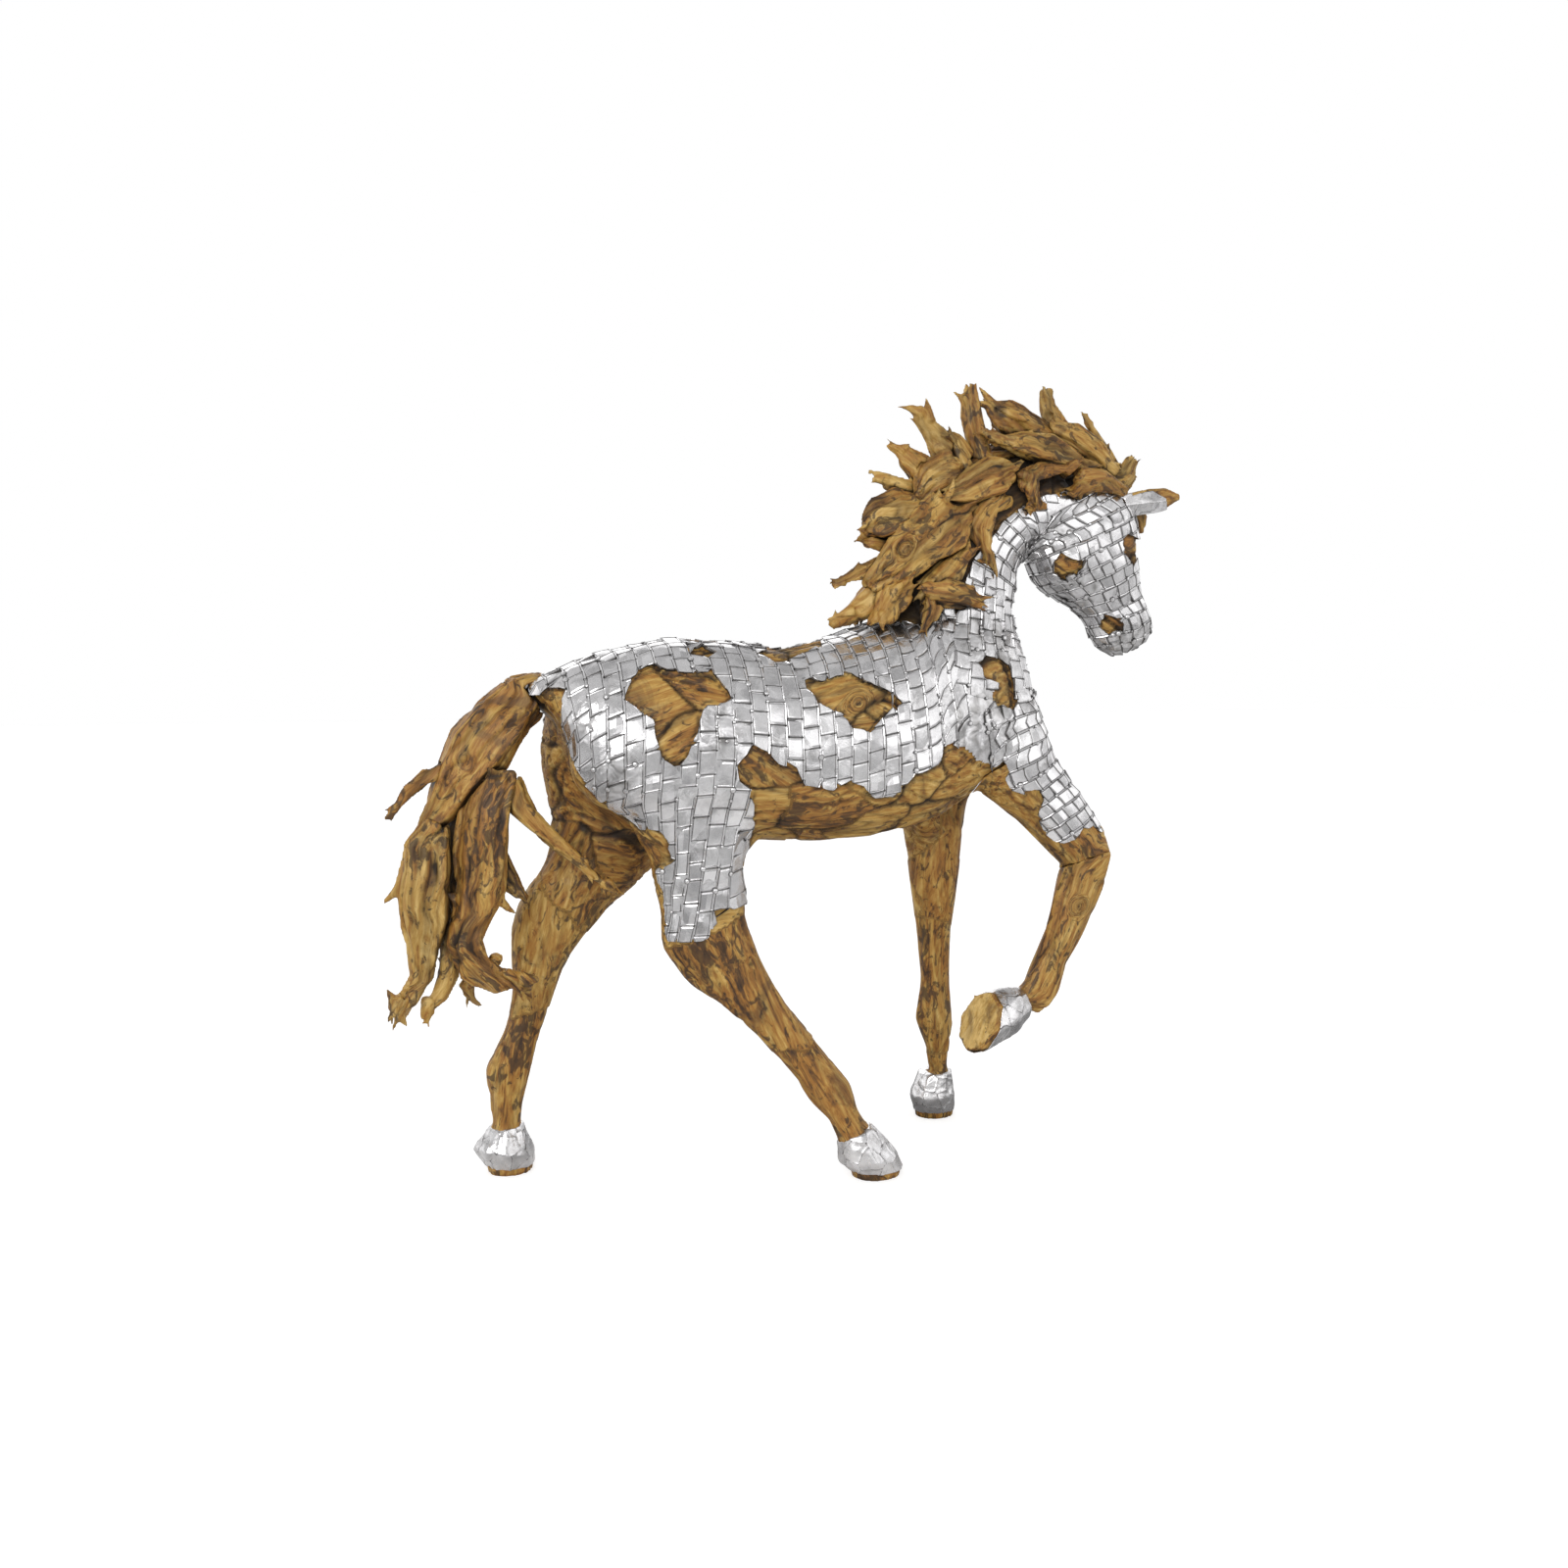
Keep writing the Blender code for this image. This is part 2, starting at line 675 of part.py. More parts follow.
def root_wood(name, path, mat, seed, flat=0.62, knots=0.16):
    """A split root. Its path is (across, down, side, half width) from where it is fixed to its tip."""
    rough = random.Random(seed)
    bm = bmesh.new()
    rings = []
    lean = rough.uniform(-0.35, 0.35)
    for i, (x, y, side, half) in enumerate(path):
        here = spot(x, y, side)
        before = spot(*path[max(0, i - 1)][:3])
        after = spot(*path[min(len(path) - 1, i + 1)][:3])
        way = (after - before).normalized()
        wide = way.cross(BACK).normalized()
        deep = wide.cross(way).normalized()
        size = half * ROOT_ROUND * unit_at(here)
        ring = []
        for k in range(ROOT_RING):
            angle = math.tau * k / ROOT_RING + lean
            swell = 1 + rough.uniform(-knots, knots)
            ring.append(bm.verts.new(
                here + wide * size * swell * math.cos(angle) + deep * size * flat * swell * math.sin(angle)
            ))
        rings.append(ring)
    loft(bm, rings)
    return add_object(name, bm, mat)


MANE = {
    "mane_ridge_low": [(900, 626, -2, 14), (912, 596, -2, 22), (920, 566, -2, 20), (930, 546, -2, 10)],
    "mane_ridge_middle": [(922, 556, -2, 12), (936, 530, -2, 20), (950, 510, -2, 18), (966, 494, -2, 10)],
    "mane_ridge_high": [(962, 500, -2, 10), (988, 482, -2, 16), (1014, 474, -2, 16), (1042, 468, -2, 9)],
    "mane_crest_tall": [(1004, 482, -4, 13), (997, 450, -4, 11), (992, 424, -4, 10), (990, 401, -4, 8)],
    "mane_crest_thorn": [(994, 500, -16, 10), (985, 478, -17, 8), (977, 460, -18, 5), (971, 444, -18, 2)],
    "mane_crest_hook": [(982, 474, -6, 20), (966, 458, -6, 18), (950, 440, -6, 10), (933, 422, -6, 3)],
    "mane_crest_blade": [(1088, 464, -6, 12), (1054, 440, -6, 18), (1027, 426, -6, 16),
                         (1009, 414, -6, 6)],
    "mane_crest_stub": [(1094, 462, -4, 13), (1077, 436, -4, 11), (1069, 416, -4, 8), (1067, 397, -4, 7)],
    "mane_poll_spur": [(1138, 482, -2, 9), (1128, 462, -2, 7), (1117, 444, -2, 5), (1108, 429, -2, 3)],
    "mane_poll_knot": [(1126, 500, -6, 15), (1141, 491, -6, 14), (1150, 480, -6, 10), (1155, 470, -6, 6)],
    "mane_long_blade": [(1012, 448, -22, 3), (1042, 453, -26, 14), (1072, 460, -28, 16),
                        (1116, 480, -26, 5)],
    "mane_top_blade": [(1074, 440, -14, 8), (1096, 446, -15, 15), (1116, 462, -16, 15),
                       (1136, 484, -16, 7)],
    "mane_temple_leaf": [(1148, 502, -30, 5), (1126, 490, -32, 13), (1106, 487, -34, 17),
                         (1098, 510, -35, 6)],
    "mane_temple_claw": [(1092, 477, -31, 5), (1066, 479, -33, 11), (1046, 487, -35, 13),
                         (1058, 520, -38, 3)],
    "mane_heart": [(1032, 480, -30, 11), (1014, 485, -33, 22), (988, 500, -34, 16), (960, 511, -36, 3)],
    "mane_upper_rear": [(984, 488, -20, 10), (968, 479, -22, 18), (950, 487, -22, 20), (934, 508, -22, 5)],
    "mane_rear_fork": [(952, 490, -12, 17), (938, 476, -14, 16), (924, 466, -14, 11), (914, 457, -14, 4)],
    "mane_rear_thorn": [(944, 506, -10, 12), (924, 500, -12, 9), (906, 492, -12, 7), (892, 482, -12, 2)],
    "mane_fringe": [(942, 524, -22, 20), (918, 526, -24, 26), (896, 530, -24, 22), (881, 536, -24, 11)],
    "mane_fringe_low": [(930, 552, -18, 16), (906, 552, -18, 16), (888, 550, -18, 14), (878, 555, -18, 5)],
    "mane_great_leaf": [(990, 522, -34, 10), (966, 531, -36, 28), (936, 554, -37, 31), (908, 581, -36, 22),
                        (886, 597, -34, 8)],
    "mane_spike": [(918, 569, -24, 9), (896, 576, -24, 9), (874, 585, -24, 7), (853, 595, -24, 3)],
    "mane_hanging_claw": [(1032, 512, -32, 6), (1010, 515, -34, 11), (1000, 540, -37, 13),
                          (1007, 579, -39, 2)],
    "mane_low_wedge": [(984, 562, -38, 6), (969, 581, -40, 16), (951, 601, -42, 16), (940, 612, -42, 5)],
    "mane_low_ragged": [(946, 606, -50, 9), (966, 604, -51, 15), (988, 610, -51, 14),
                        (1004, 614, -51, 3)],
    "mane_low_knot": [(924, 592, -38, 12), (914, 606, -40, 20), (900, 632, -40, 10)],
    "mane_low_stub": [(956, 616, -52, 10), (948, 630, -53, 11), (942, 641, -53, 6)],
    "mane_withers_root": [(914, 590, -20, 18), (896, 608, -22, 18), (872, 625, -22, 12),
                          (848, 637, -22, 5)],
    "forelock": [(1142, 512, -2, 8), (1155, 518, -2, 9), (1163, 530, -2, 8), (1165, 545, -2, 4)],
}
LEFT_MANE = {
    "left_mane_poll": [(1128, 498, 20, 10), (1104, 489, 23, 16), (1066, 498, 27, 6)],
    "left_mane_top": [(1080, 470, 22, 12), (1050, 462, 24, 18), (1020, 464, 26, 16), (1000, 474, 26, 7)],
    "left_mane_heart": [(1032, 492, 30, 14), (1008, 500, 34, 20), (982, 508, 36, 18), (960, 514, 36, 6)],
    "left_mane_rear": [(972, 492, 22, 14), (950, 500, 24, 20), (930, 516, 24, 18), (912, 524, 24, 6)],
    "left_mane_leaf": [(976, 530, 44, 12), (950, 548, 46, 24), (920, 570, 46, 20), (900, 586, 44, 7)],
    "left_mane_wedge": [(972, 580, 46, 8), (952, 598, 48, 17), (930, 611, 48, 16), (912, 621, 48, 6)],
    "left_mane_withers": [(924, 592, 24, 14), (900, 606, 26, 15), (880, 620, 26, 11), (866, 628, 26, 5)],
}
TAIL = {
    "tail_stock": [(560, 702, 0, 12), (551, 703, 0, 20), (535, 711, 0, 28), (511, 735, 0, 34),
                   (490, 765, 0, 36), (466, 796, 0, 29), (450, 826, 0, 19), (434, 846, 0, 10),
                   (414, 865, 0, 3)],
    "tail_rear_prong": [(458, 784, -2, 12), (436, 792, -2, 10), (416, 808, -2, 7), (401, 830, -2, 2)],
    "tail_main_lock": [(506, 784, -12, 20), (492, 832, -14, 27), (490, 872, -14, 30), (488, 906, -14, 27),
                       (480, 936, -14, 21), (474, 962, -14, 20), (484, 988, -14, 16), (507, 1001, -14, 12),
                       (529, 1001, -14, 9), (549, 999, -14, 3)],
    "tail_branch": [(518, 800, -16, 16), (532, 824, -16, 14), (552, 847, -18, 10), (578, 868, -18, 8),
                    (600, 888, -18, 6), (622, 906, -18, 2)],
    "tail_inner_prong": [(502, 862, -4, 14), (512, 884, -4, 13), (523, 901, -4, 11), (533, 914, -4, 6)],
    "tail_rear_lock": [(446, 838, -4, 14), (435, 866, -4, 25), (431, 900, -4, 28), (435, 936, -4, 23),
                       (431, 968, -4, 17), (429, 998, -4, 12), (417, 1019, -4, 10), (397, 1030, -4, 3)],
    "tail_hanging_lock": [(462, 940, 6, 12), (459, 968, 6, 13), (457, 994, 6, 11), (448, 1016, 6, 8),
                       (436, 1030, 6, 4)],
    "tail_left_lock": [(484, 796, 16, 14), (470, 850, 20, 22), (466, 900, 20, 20), (472, 950, 19, 14),
                       (478, 1004, 18, 3)],
}
EARS = {
    "right_ear": [(1136, 514, -22, 6), (1150, 514, -25, 9), (1172, 510, -28, 12), (1190, 508, -30, 11),
                 (1204, 507, -32, 3)],
    "left_ear": [(1128, 514, 18, 6), (1146, 514, 24, 9), (1164, 512, 29, 11), (1188, 512, 33, 3)],
}
EAR_BARE = [(1150, 480), (1156, 506), (1176, 501), (1190, 509), (1192, 540), (1260, 540), (1260, 480)]


def ear_metal(ear, solids, mat):
    """The metal round the root of the right ear. Its tip is bare."""
    bare = prism("ear_tip_bare", EAR_BARE, -OUTSIDE, 0)
    metal = metal_over("right_ear_metal", bpy.data.objects[ear.name + "_seat"], [bare, solids[0]], mat)
    solids.append(grown(metal, JOINT_GAP, metal.name + "_seat"))


def roots(plans, mat, solids):
    """Makes the roots in turn, each cut to sit against those in place before it."""
    made = []
    for seed, (name, path) in enumerate(plans.items()):
        root = root_wood(name, path, mat, seed + len(solids))
        pattern = grown(root, JOINT_GAP, name + "_seat")
        cut(root, [solid for solid in solids if boxes_meet(root, solid)])
        keep_largest(root)
        solids.append(pattern)
        made.append(root)
    return made


def boxes_meet(first, second):
    boxes = []
    for obj in (first, second):
        points = [v.co for v in obj.data.vertices]
        boxes.append([(min(p[a] for p in points), max(p[a] for p in points)) for a in range(3)])
    return all(a[0] <= b[1] and b[0] <= a[1] for a, b in zip(*boxes))


def main():
    clear_scene()
    wood = material("root_wood", WOOD, 0.55, 0.0)
    dark = material("dark_root_wood", DARK_WOOD, 0.6, 0.0)
    steel = material("nailed_metal", STEEL, 0.3, 1.0)

    body, hooves = figure()
    trunk = copy_of(body, "body_and_head", wood)
    cut(trunk, [prism(name + "_socket", shape, -hand * SOCKET_DEPTH, hand * OUTSIDE)
                for name, (shape, hand) in SOCKETS.items()])
    keep_largest(trunk)
    legs = {}
    for name, (shape, hand) in LEG_BLOCKS.items():
        block = prism(name + "_block", shape, hand * JOINT_GAP / UNIT, hand * OUTSIDE, shrink=JOINT_GAP)
        legs[name] = cut(copy_of(body, name, wood), [block], "INTERSECT")
        keep_largest(legs[name])

    body_inside = grown(body, METAL_GAP, "body_inside")
    for name, leg_name in HOOF_LEGS.items():
        hoof, sole, facing = hooves[name]
        cut(legs[leg_name], [hoof], "UNION")
        hide(hoof)
        below = half_space(name + "_below", sole - facing * SOLE_BAND, facing)
        metal_over(name + "_hoof_metal", hoof, [body_inside, below], steel)

    bare = [prism("right_bare", RIGHT_BARE, -OUTSIDE, 0), prism("left_bare", LEFT_BARE, 0, OUTSIDE)]
    bare += [prism(f"right_bare_{place}", outline, -OUTSIDE, 0) for place, outline in RIGHT_PATCHES.items()]
    bare += [prism(f"left_bare_{place}", outline, 0, OUTSIDE) for place, outline in LEFT_PATCHES.items()]
    bare += [spine_prism(f"spine_bare_{place}", outline) for place, outline in SPINE_PATCHES.items()]
    metal_over("metal_skin", body, bare, steel)

    solids = [grown(body, METAL_GAP + METAL + JOINT_GAP, "body_seat")]
    roots(TAIL, wood, solids)
    ears = roots(EARS, wood, solids)
    ear_metal(ears[0], solids, steel)
    roots(MANE, wood, solids)
    roots(LEFT_MANE, dark, solids)
    stand_on_floor()


def stand_on_floor():
    """Hangs every object on an empty that puts the middle of the horse's box over the origin."""
    shown = [obj for obj in bpy.data.objects if not obj.hide_render]
    low = [min(v.co[axis] for obj in shown for v in obj.data.vertices) for axis in range(3)]
    high = [max(v.co[axis] for obj in shown for v in obj.data.vertices) for axis in range(3)]
    horse = bpy.data.objects.new("horse", None)
    for obj in bpy.data.objects:
        if obj.type == "MESH":
            obj.parent = horse
    bpy.context.scene.collection.objects.link(horse)
    horse.location = (-(low[0] + high[0]) / 2, -(low[1] + high[1]) / 2, -low[2])
    for obj in shown:
        obj.data.shade_smooth()
        obj.data.set_sharp_from_angle(angle=SHARP_EDGE)


main()
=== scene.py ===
"""Looks of a life-size walking horse of teak root and nailed metal tiles, with a mane and tail of roots."""

import json
import math

import bmesh
import bpy
import numpy as np
from mathutils import Matrix, Vector, noise
from mathutils.bvhtree import BVHTree
from mathutils.kdtree import KDTree


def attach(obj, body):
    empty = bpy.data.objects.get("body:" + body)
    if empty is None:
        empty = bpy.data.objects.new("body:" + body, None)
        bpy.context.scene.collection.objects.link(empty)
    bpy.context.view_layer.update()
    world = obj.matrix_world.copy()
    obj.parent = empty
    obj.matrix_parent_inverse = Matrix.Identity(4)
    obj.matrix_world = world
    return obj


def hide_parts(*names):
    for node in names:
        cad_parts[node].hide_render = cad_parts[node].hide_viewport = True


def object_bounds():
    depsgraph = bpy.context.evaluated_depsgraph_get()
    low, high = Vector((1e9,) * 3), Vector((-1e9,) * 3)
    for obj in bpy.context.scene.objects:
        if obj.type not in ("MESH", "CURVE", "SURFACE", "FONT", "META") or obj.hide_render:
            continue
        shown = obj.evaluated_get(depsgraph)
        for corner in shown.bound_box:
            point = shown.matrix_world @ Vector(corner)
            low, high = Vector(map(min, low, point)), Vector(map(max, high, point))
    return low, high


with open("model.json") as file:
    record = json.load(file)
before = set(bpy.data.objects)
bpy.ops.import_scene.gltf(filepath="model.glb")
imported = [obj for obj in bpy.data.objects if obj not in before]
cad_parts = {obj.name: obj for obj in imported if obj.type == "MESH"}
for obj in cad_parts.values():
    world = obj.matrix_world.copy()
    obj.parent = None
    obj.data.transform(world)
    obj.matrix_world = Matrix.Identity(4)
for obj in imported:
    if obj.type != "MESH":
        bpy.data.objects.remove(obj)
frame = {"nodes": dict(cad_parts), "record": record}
cad_low, cad_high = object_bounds()


# Camera
# It stands to the horse's right and a little behind, as high as its back, and looks slightly down.
# A place on the picture is (across, down) in picture units. `side`, in the same units, is left of the middle.

PICTURE = 1600
FIGURE_HEIGHT = 2.17
FIGURE_UNITS = 809
UNIT = FIGURE_HEIGHT / FIGURE_UNITS
TURN, TILT = math.radians(-18.0), math.radians(5.2)
DISTANCE = 1.66 * FIGURE_HEIGHT
EYE_LEVEL = 0.645 * FIGURE_HEIGHT
RIGHT_SOLE = (894, 1197)
SENSOR = 36.0

RIGHT = Vector((math.cos(TURN), math.sin(TURN), 0))
BACK = Vector((math.sin(TURN) * math.cos(TILT), -math.cos(TURN) * math.cos(TILT), math.sin(TILT)))
UP = BACK.cross(RIGHT)


def sight_line(across, down):
    """The direction in which the camera sees a place on the picture, one camera distance long."""
    middle = PICTURE / 2
    return RIGHT * (across - middle) * UNIT - UP * (down - middle) * UNIT - BACK * DISTANCE


drawn_eye = Vector((0, 0, EYE_LEVEL - DISTANCE * math.sin(TILT))) + BACK * DISTANCE
sole_line = sight_line(*RIGHT_SOLE)
drawn_sole = drawn_eye - sole_line * (drawn_eye.z / sole_line.z)
right_sole = Vector(frame["record"]["mounts"][0]["pos_m"])
EYE = drawn_eye + right_sole - drawn_sole
MIDDLE = EYE.y - drawn_eye.y     # y of the horse's middle plane


def spot(across, down, side):
    """The point `side` units left of the middle plane that is seen at that place."""
    line = sight_line(across, down)
    return EYE + line * ((MIDDLE + side * UNIT - EYE.y) / line.y)


camera = bpy.data.objects.new("camera", bpy.data.cameras.new("camera"))
camera.data.sensor_width = SENSOR
camera.data.lens = SENSOR * DISTANCE / (PICTURE * UNIT)
camera.matrix_world = Matrix.Translation(EYE) @ Matrix((RIGHT, UP, BACK)).transposed().to_4x4()
scene = bpy.context.scene
scene.collection.objects.link(camera)
scene.camera = camera


# Body and standing legs
# One carved form of teak root: trunk, neck, head and the three legs it stands on, glued up from fitted chunks
# of root and oiled. Four solids of the frame meet in it. The metal is nailed over most of it later.

class Field:
    """A value that varies over a surface, with ordinary arithmetic."""

    def __init__(self, finish, socket):
        self.finish = finish
        self.socket = socket

    def work(self, operation, first, second=0.0):
        return self.finish.node("Math", {"operation": operation}, {0: first, 1: second})

    def __add__(self, other):
        return self.work("ADD", self, other)

    def __sub__(self, other):
        return self.work("SUBTRACT", self, other)

    def __rsub__(self, other):
        return self.work("SUBTRACT", other, self)

    def __mul__(self, other):
        return self.work("MULTIPLY", self, other)

    __radd__ = __add__
    __rmul__ = __mul__

    def clamped(self):
        return self.work("MINIMUM", self.work("MAXIMUM", self, 0.0), 1.0)

    def sine(self):
        return self.work("SINE", self)

    def line(self, value, reach):
        """1 where the field has a value, falling to 0 at `reach` to either side."""
        return (1.0 - self.work("ABSOLUTE", self - value) * (1 / reach)).clamped()

    def step(self, low, high):
        """0 below one value and 1 above the other, with a soft rise between."""
        settings = {"interpolation_type": "SMOOTHSTEP"}
        return self.finish.node("MapRange", settings, {"Value": self, "From Min": low, "From Max": high})


class Finish:
    """A material built from nodes."""

    def __init__(self, name):
        self.material = bpy.data.materials.new(name)
        self.material.use_nodes = True
        self.tree = self.material.node_tree
        self.shader = self.tree.nodes["Principled BSDF"]

    def node(self, kind, settings=(), sockets=(), out=0):
        """Adds a node, makes its settings, fills its sockets and gives one of its outputs."""
        made = self.tree.nodes.new("ShaderNode" + kind)
        for name, value in dict(settings).items():
            if name == "stops":
                self.set_stops(made.color_ramp.elements, value)
            else:
                setattr(made, name, value)
        for name, value in dict(sockets).items():
            self.fill(made.inputs[name], value)
        return Field(self, made.outputs[out])

    @staticmethod
    def set_stops(elements, stops):
        """Colours of a ramp, each with its place, from the lowest place up."""
        elements[0].position, elements[-1].position = stops[0][0], stops[-1][0]
        for place, colour in stops[1:-1]:
            elements.new(place)
        for element, (place, colour) in zip(elements, stops):
            element.color = (*colour, 1.0)

    def fill(self, socket, value):
        if isinstance(value, Field):
            self.tree.links.new(value.socket, socket)
        elif isinstance(value, tuple) and socket.type == "RGBA":
            socket.default_value = (*value, 1.0)
        else:
            socket.default_value = value

    def set(self, **values):
        """Sets the shader's own sockets; an underscore stands for a space."""
        for name, value in values.items():
            self.fill(self.shader.inputs[name.replace("_", " ")], value)

    def noise(self, place, scale, detail=2.0, roughness=0.5, distortion=0.0):
        return self.node("TexNoise", {}, {
            "Vector": place, "Scale": scale, "Detail": detail, "Roughness": roughness,
            "Distortion": distortion,
        })

    def attribute(self, name, out=2):
        """A value kept on the mesh: output 2 is a number, 1 a vector."""
        return self.node("Attribute", {"attribute_name": name}, {}, out)

    def stretched(self, place, scale):
        return self.node("Mapping", {}, {"Vector": place, "Scale": scale})

    def mixed(self, share, first, second):
        """One colour or another."""
        return self.node("Mix", {"data_type": "RGBA"}, {0: share, 6: first, 7: second}, out=2)

    def bumped(self, height, strength, distance):
        return self.node("Bump", {}, {"Height": height, "Strength": strength, "Distance": distance})


PALE_TEAK = (0.72, 0.50, 0.18)
GOLD_TEAK = (0.48, 0.285, 0.068)
ORANGE_TEAK = (0.33, 0.145, 0.026)
BROWN_TEAK = (0.075, 0.036, 0.014)
SPOT_TEAK = (0.040, 0.022, 0.011)
CRACK_AND_SHADE = (0.014, 0.008, 0.004)
GRAIN_STRETCH = (1.0, 1.0, 0.13)     # streaks are eight times as long as they are wide
SPOT_STRETCH = (1.0, 1.0, 0.50)


def root_finish(name, extra_shade):
    """Teak root, on a mesh with `grain` places whose third number runs along the fibres."""
    made = Finish(name)
    grain = made.attribute("grain", out=1)
    hollow, tone, shut = (made.attribute(value) for value in ("hollow", "tone", "shut"))
    fibre = made.stretched(grain, GRAIN_STRETCH)
    swirl = made.noise(fibre, 8.0, 3.0, 0.55, 1.8)
    streak = made.noise(fibre, 36.0, 6.0, 0.68, 1.1)
    fine = made.noise(fibre, 170.0, 3.0, 0.6, 0.3)
    blotch = made.noise(grain, 9.0, 5.0, 0.62, 1.0)
    spots = made.noise(made.stretched(grain, SPOT_STRETCH), 34.0, 4.0, 0.60, 1.6)
    clusters = made.noise(grain, 6.0, 2.0, 0.5, 0.5)
    figure = (swirl * 55.0).sine() * 0.5 + 0.5
    depth = (streak * 1.55 + figure * 0.14 + fine * 0.30 + tone * 0.34 - 0.72).clamped()
    wood = made.node("ValToRGB", {"stops": [
        (0.06, BROWN_TEAK), (0.30, ORANGE_TEAK), (0.52, GOLD_TEAK), (0.86, PALE_TEAK),
    ]}, {0: depth})
    darkened = made.mixed(blotch.step(0.52, 0.66) * 0.55, wood, BROWN_TEAK)
    warm = made.mixed((1.0 - blotch).step(0.54, 0.70) * 0.50, darkened, ORANGE_TEAK)
    spotted = (spots + clusters * 0.45 - tone * 0.10).step(0.715, 0.815)
    knots = made.mixed(spotted * 0.80, warm, SPOT_TEAK)
    slit = (1.0 - streak).step(0.60, 0.72)
    # Knots, joints and cracks are dark in their own colour; grooves, clefts, the mane's bed and the band
    # along the metal's edge are darkened as painted shade.
    cracked_and_shaded = made.mixed((hollow * 0.95 + slit * 0.55).clamped(), knots, CRACK_AND_SHADE)
    # Painted shade: darker where other wood stands close round, and darker over all for the roots behind the
    # crest.
    shaded = made.mixed((shut.step(0.25, 0.90) * 0.90 + extra_shade).clamped(), cracked_and_shaded, CRACK_AND_SHADE)
    relief = streak * 0.60 + fine * 0.25 + figure * 0.12 - slit * 0.40
    made.set(
        Base_Color=shaded,
        Roughness=(0.60 - streak * 0.18 + hollow * 0.2).clamped(),
        Normal=made.bumped(relief, 0.65, 0.005),
        Specular_IOR_Level=0.40,
    )
    return made.material


TEAK = root_finish("teak_root", 0.0)

FORM_VOXEL = 0.0080
FORM_SWELL = 0.0010      # closes the joints between the solids before they fuse
FORM_FAIRING = 20, 50    # rounds that take the facets off, and rounds that give the girth back
FUSED = ("body_and_head", "right_hind_leg", "left_hind_leg", "left_foreleg")


def copied(*names):
    """A bmesh of CAD nodes with their loose triangles merged."""
    bm = bmesh.new()
    for name in names:
        bm.from_mesh(frame["nodes"][name].data)
    bmesh.ops.remove_doubles(bm, verts=bm.verts, dist=0.00002)
    return bm


def opened(mesh):
    """A bmesh of a mesh."""
    bm = bmesh.new()
    bm.from_mesh(mesh)
    return bm


def closed(bm, name):
    """A new mesh of a bmesh, which is freed."""
    mesh = bpy.data.meshes.new(name)
    bm.to_mesh(mesh)
    bm.free()
    return mesh


def tree_of(bm):
    """A tree that finds places on a bmesh, which is freed."""
    tree = BVHTree.FromBMesh(bm)
    bm.free()
    return tree


def remeshed(bm, voxel, swell=0.0):
    """A mesh of even squares over a bmesh, which is freed."""
    mesh = closed(bm, "rough")
    rough = bpy.data.objects.new("rough", mesh)
    scene.collection.objects.link(rough)
    if swell:
        push = rough.modifiers.new("Swell", "DISPLACE")
        push.strength = swell
        push.mid_level = 0.0
    squares = rough.modifiers.new("Squares", "REMESH")
    squares.mode = "VOXEL"
    squares.voxel_size = voxel
    bpy.context.view_layer.update()
    graph = bpy.context.evaluated_depsgraph_get()
    made = bpy.data.meshes.new_from_object(rough.evaluated_get(graph))
    bpy.data.objects.remove(rough)
    bpy.data.meshes.remove(mesh)
    return largest_part(made)


def largest_part(mesh):
    """Keeps the biggest of a mesh's loose parts."""
    bm = opened(mesh)
    bm.verts.ensure_lookup_table()
    label = [-1] * len(bm.verts)
    sizes = []
    for vert in bm.verts:
        if label[vert.index] >= 0:
            continue
        label[vert.index] = len(sizes)
        queue, count = [vert], 0
        while queue:
            here = queue.pop()
            count += 1
            for edge in here.link_edges:
                other = edge.other_vert(here)
                if label[other.index] < 0:
                    label[other.index] = len(sizes)
                    queue.append(other)
        sizes.append(count)
    kept = sizes.index(max(sizes))
    loose = [vert for vert in bm.verts if label[vert.index] != kept]
    bmesh.ops.delete(bm, geom=loose, context="VERTS")
    bm.to_mesh(mesh)
    bm.free()
    return mesh


def points_of(mesh):
    flat = np.empty(len(mesh.vertices) * 3)
    mesh.vertices.foreach_get("co", flat)
    return flat.reshape(-1, 3)


def normals_of(mesh):
    flat = np.empty(len(mesh.vertices) * 3)
    mesh.vertex_normals.foreach_get("vector", flat)
    return flat.reshape(-1, 3)


def move_points(mesh, points):
    mesh.vertices.foreach_set("co", points.astype(np.float32).ravel())
    mesh.update()


def eased(mesh, values, rounds):
    """Values at the vertices, each drawn halfway to its neighbours' mean, several times over."""
    ends = np.empty(len(mesh.edges) * 2, dtype=np.int32)
    mesh.edges.foreach_get("vertices", ends)
    first, second = ends[0::2], ends[1::2]
    count = len(mesh.vertices)
    degree = np.bincount(ends, minlength=count)
    made = values.copy()
    for _ in range(rounds):
        for column in made.T:
            total = np.bincount(first, column[second], count) + np.bincount(second, column[first], count)
            column += (total / degree - column) / 2
    return made


def faired(mesh, rounds, keep_rounds):
    """Takes the facets off a form and gives back the girth that this costs."""
    before = points_of(mesh)
    after = eased(mesh, before, rounds)
    move_points(mesh, after + eased(mesh, before - after, keep_rounds))


def noise_at(places, scale, seed):
    """Smooth noise from -1 to 1 at each row of an array, with a scale for each axis."""
    scaled = places * np.array(scale) + seed
    return np.array([noise.noise(row) for row in scaled.tolist()])


def smooth_step(values, low, high):
    share = np.clip((values - low) / (high - low), 0, 1)
    return share * share * (3 - 2 * share)


def unit_rows(rows):
    return rows / np.linalg.norm(rows, axis=1)[:, None]


def set_values(mesh, name, values):
    """Keeps a number or a vector for each vertex under a name that the finish reads."""
    kind, slot = ("FLOAT_VECTOR", "vector") if values.ndim == 2 else ("FLOAT", "value")
    layer = mesh.attributes.new(name, kind, "POINT")
    layer.data.foreach_set(slot, values.astype(np.float32).ravel())


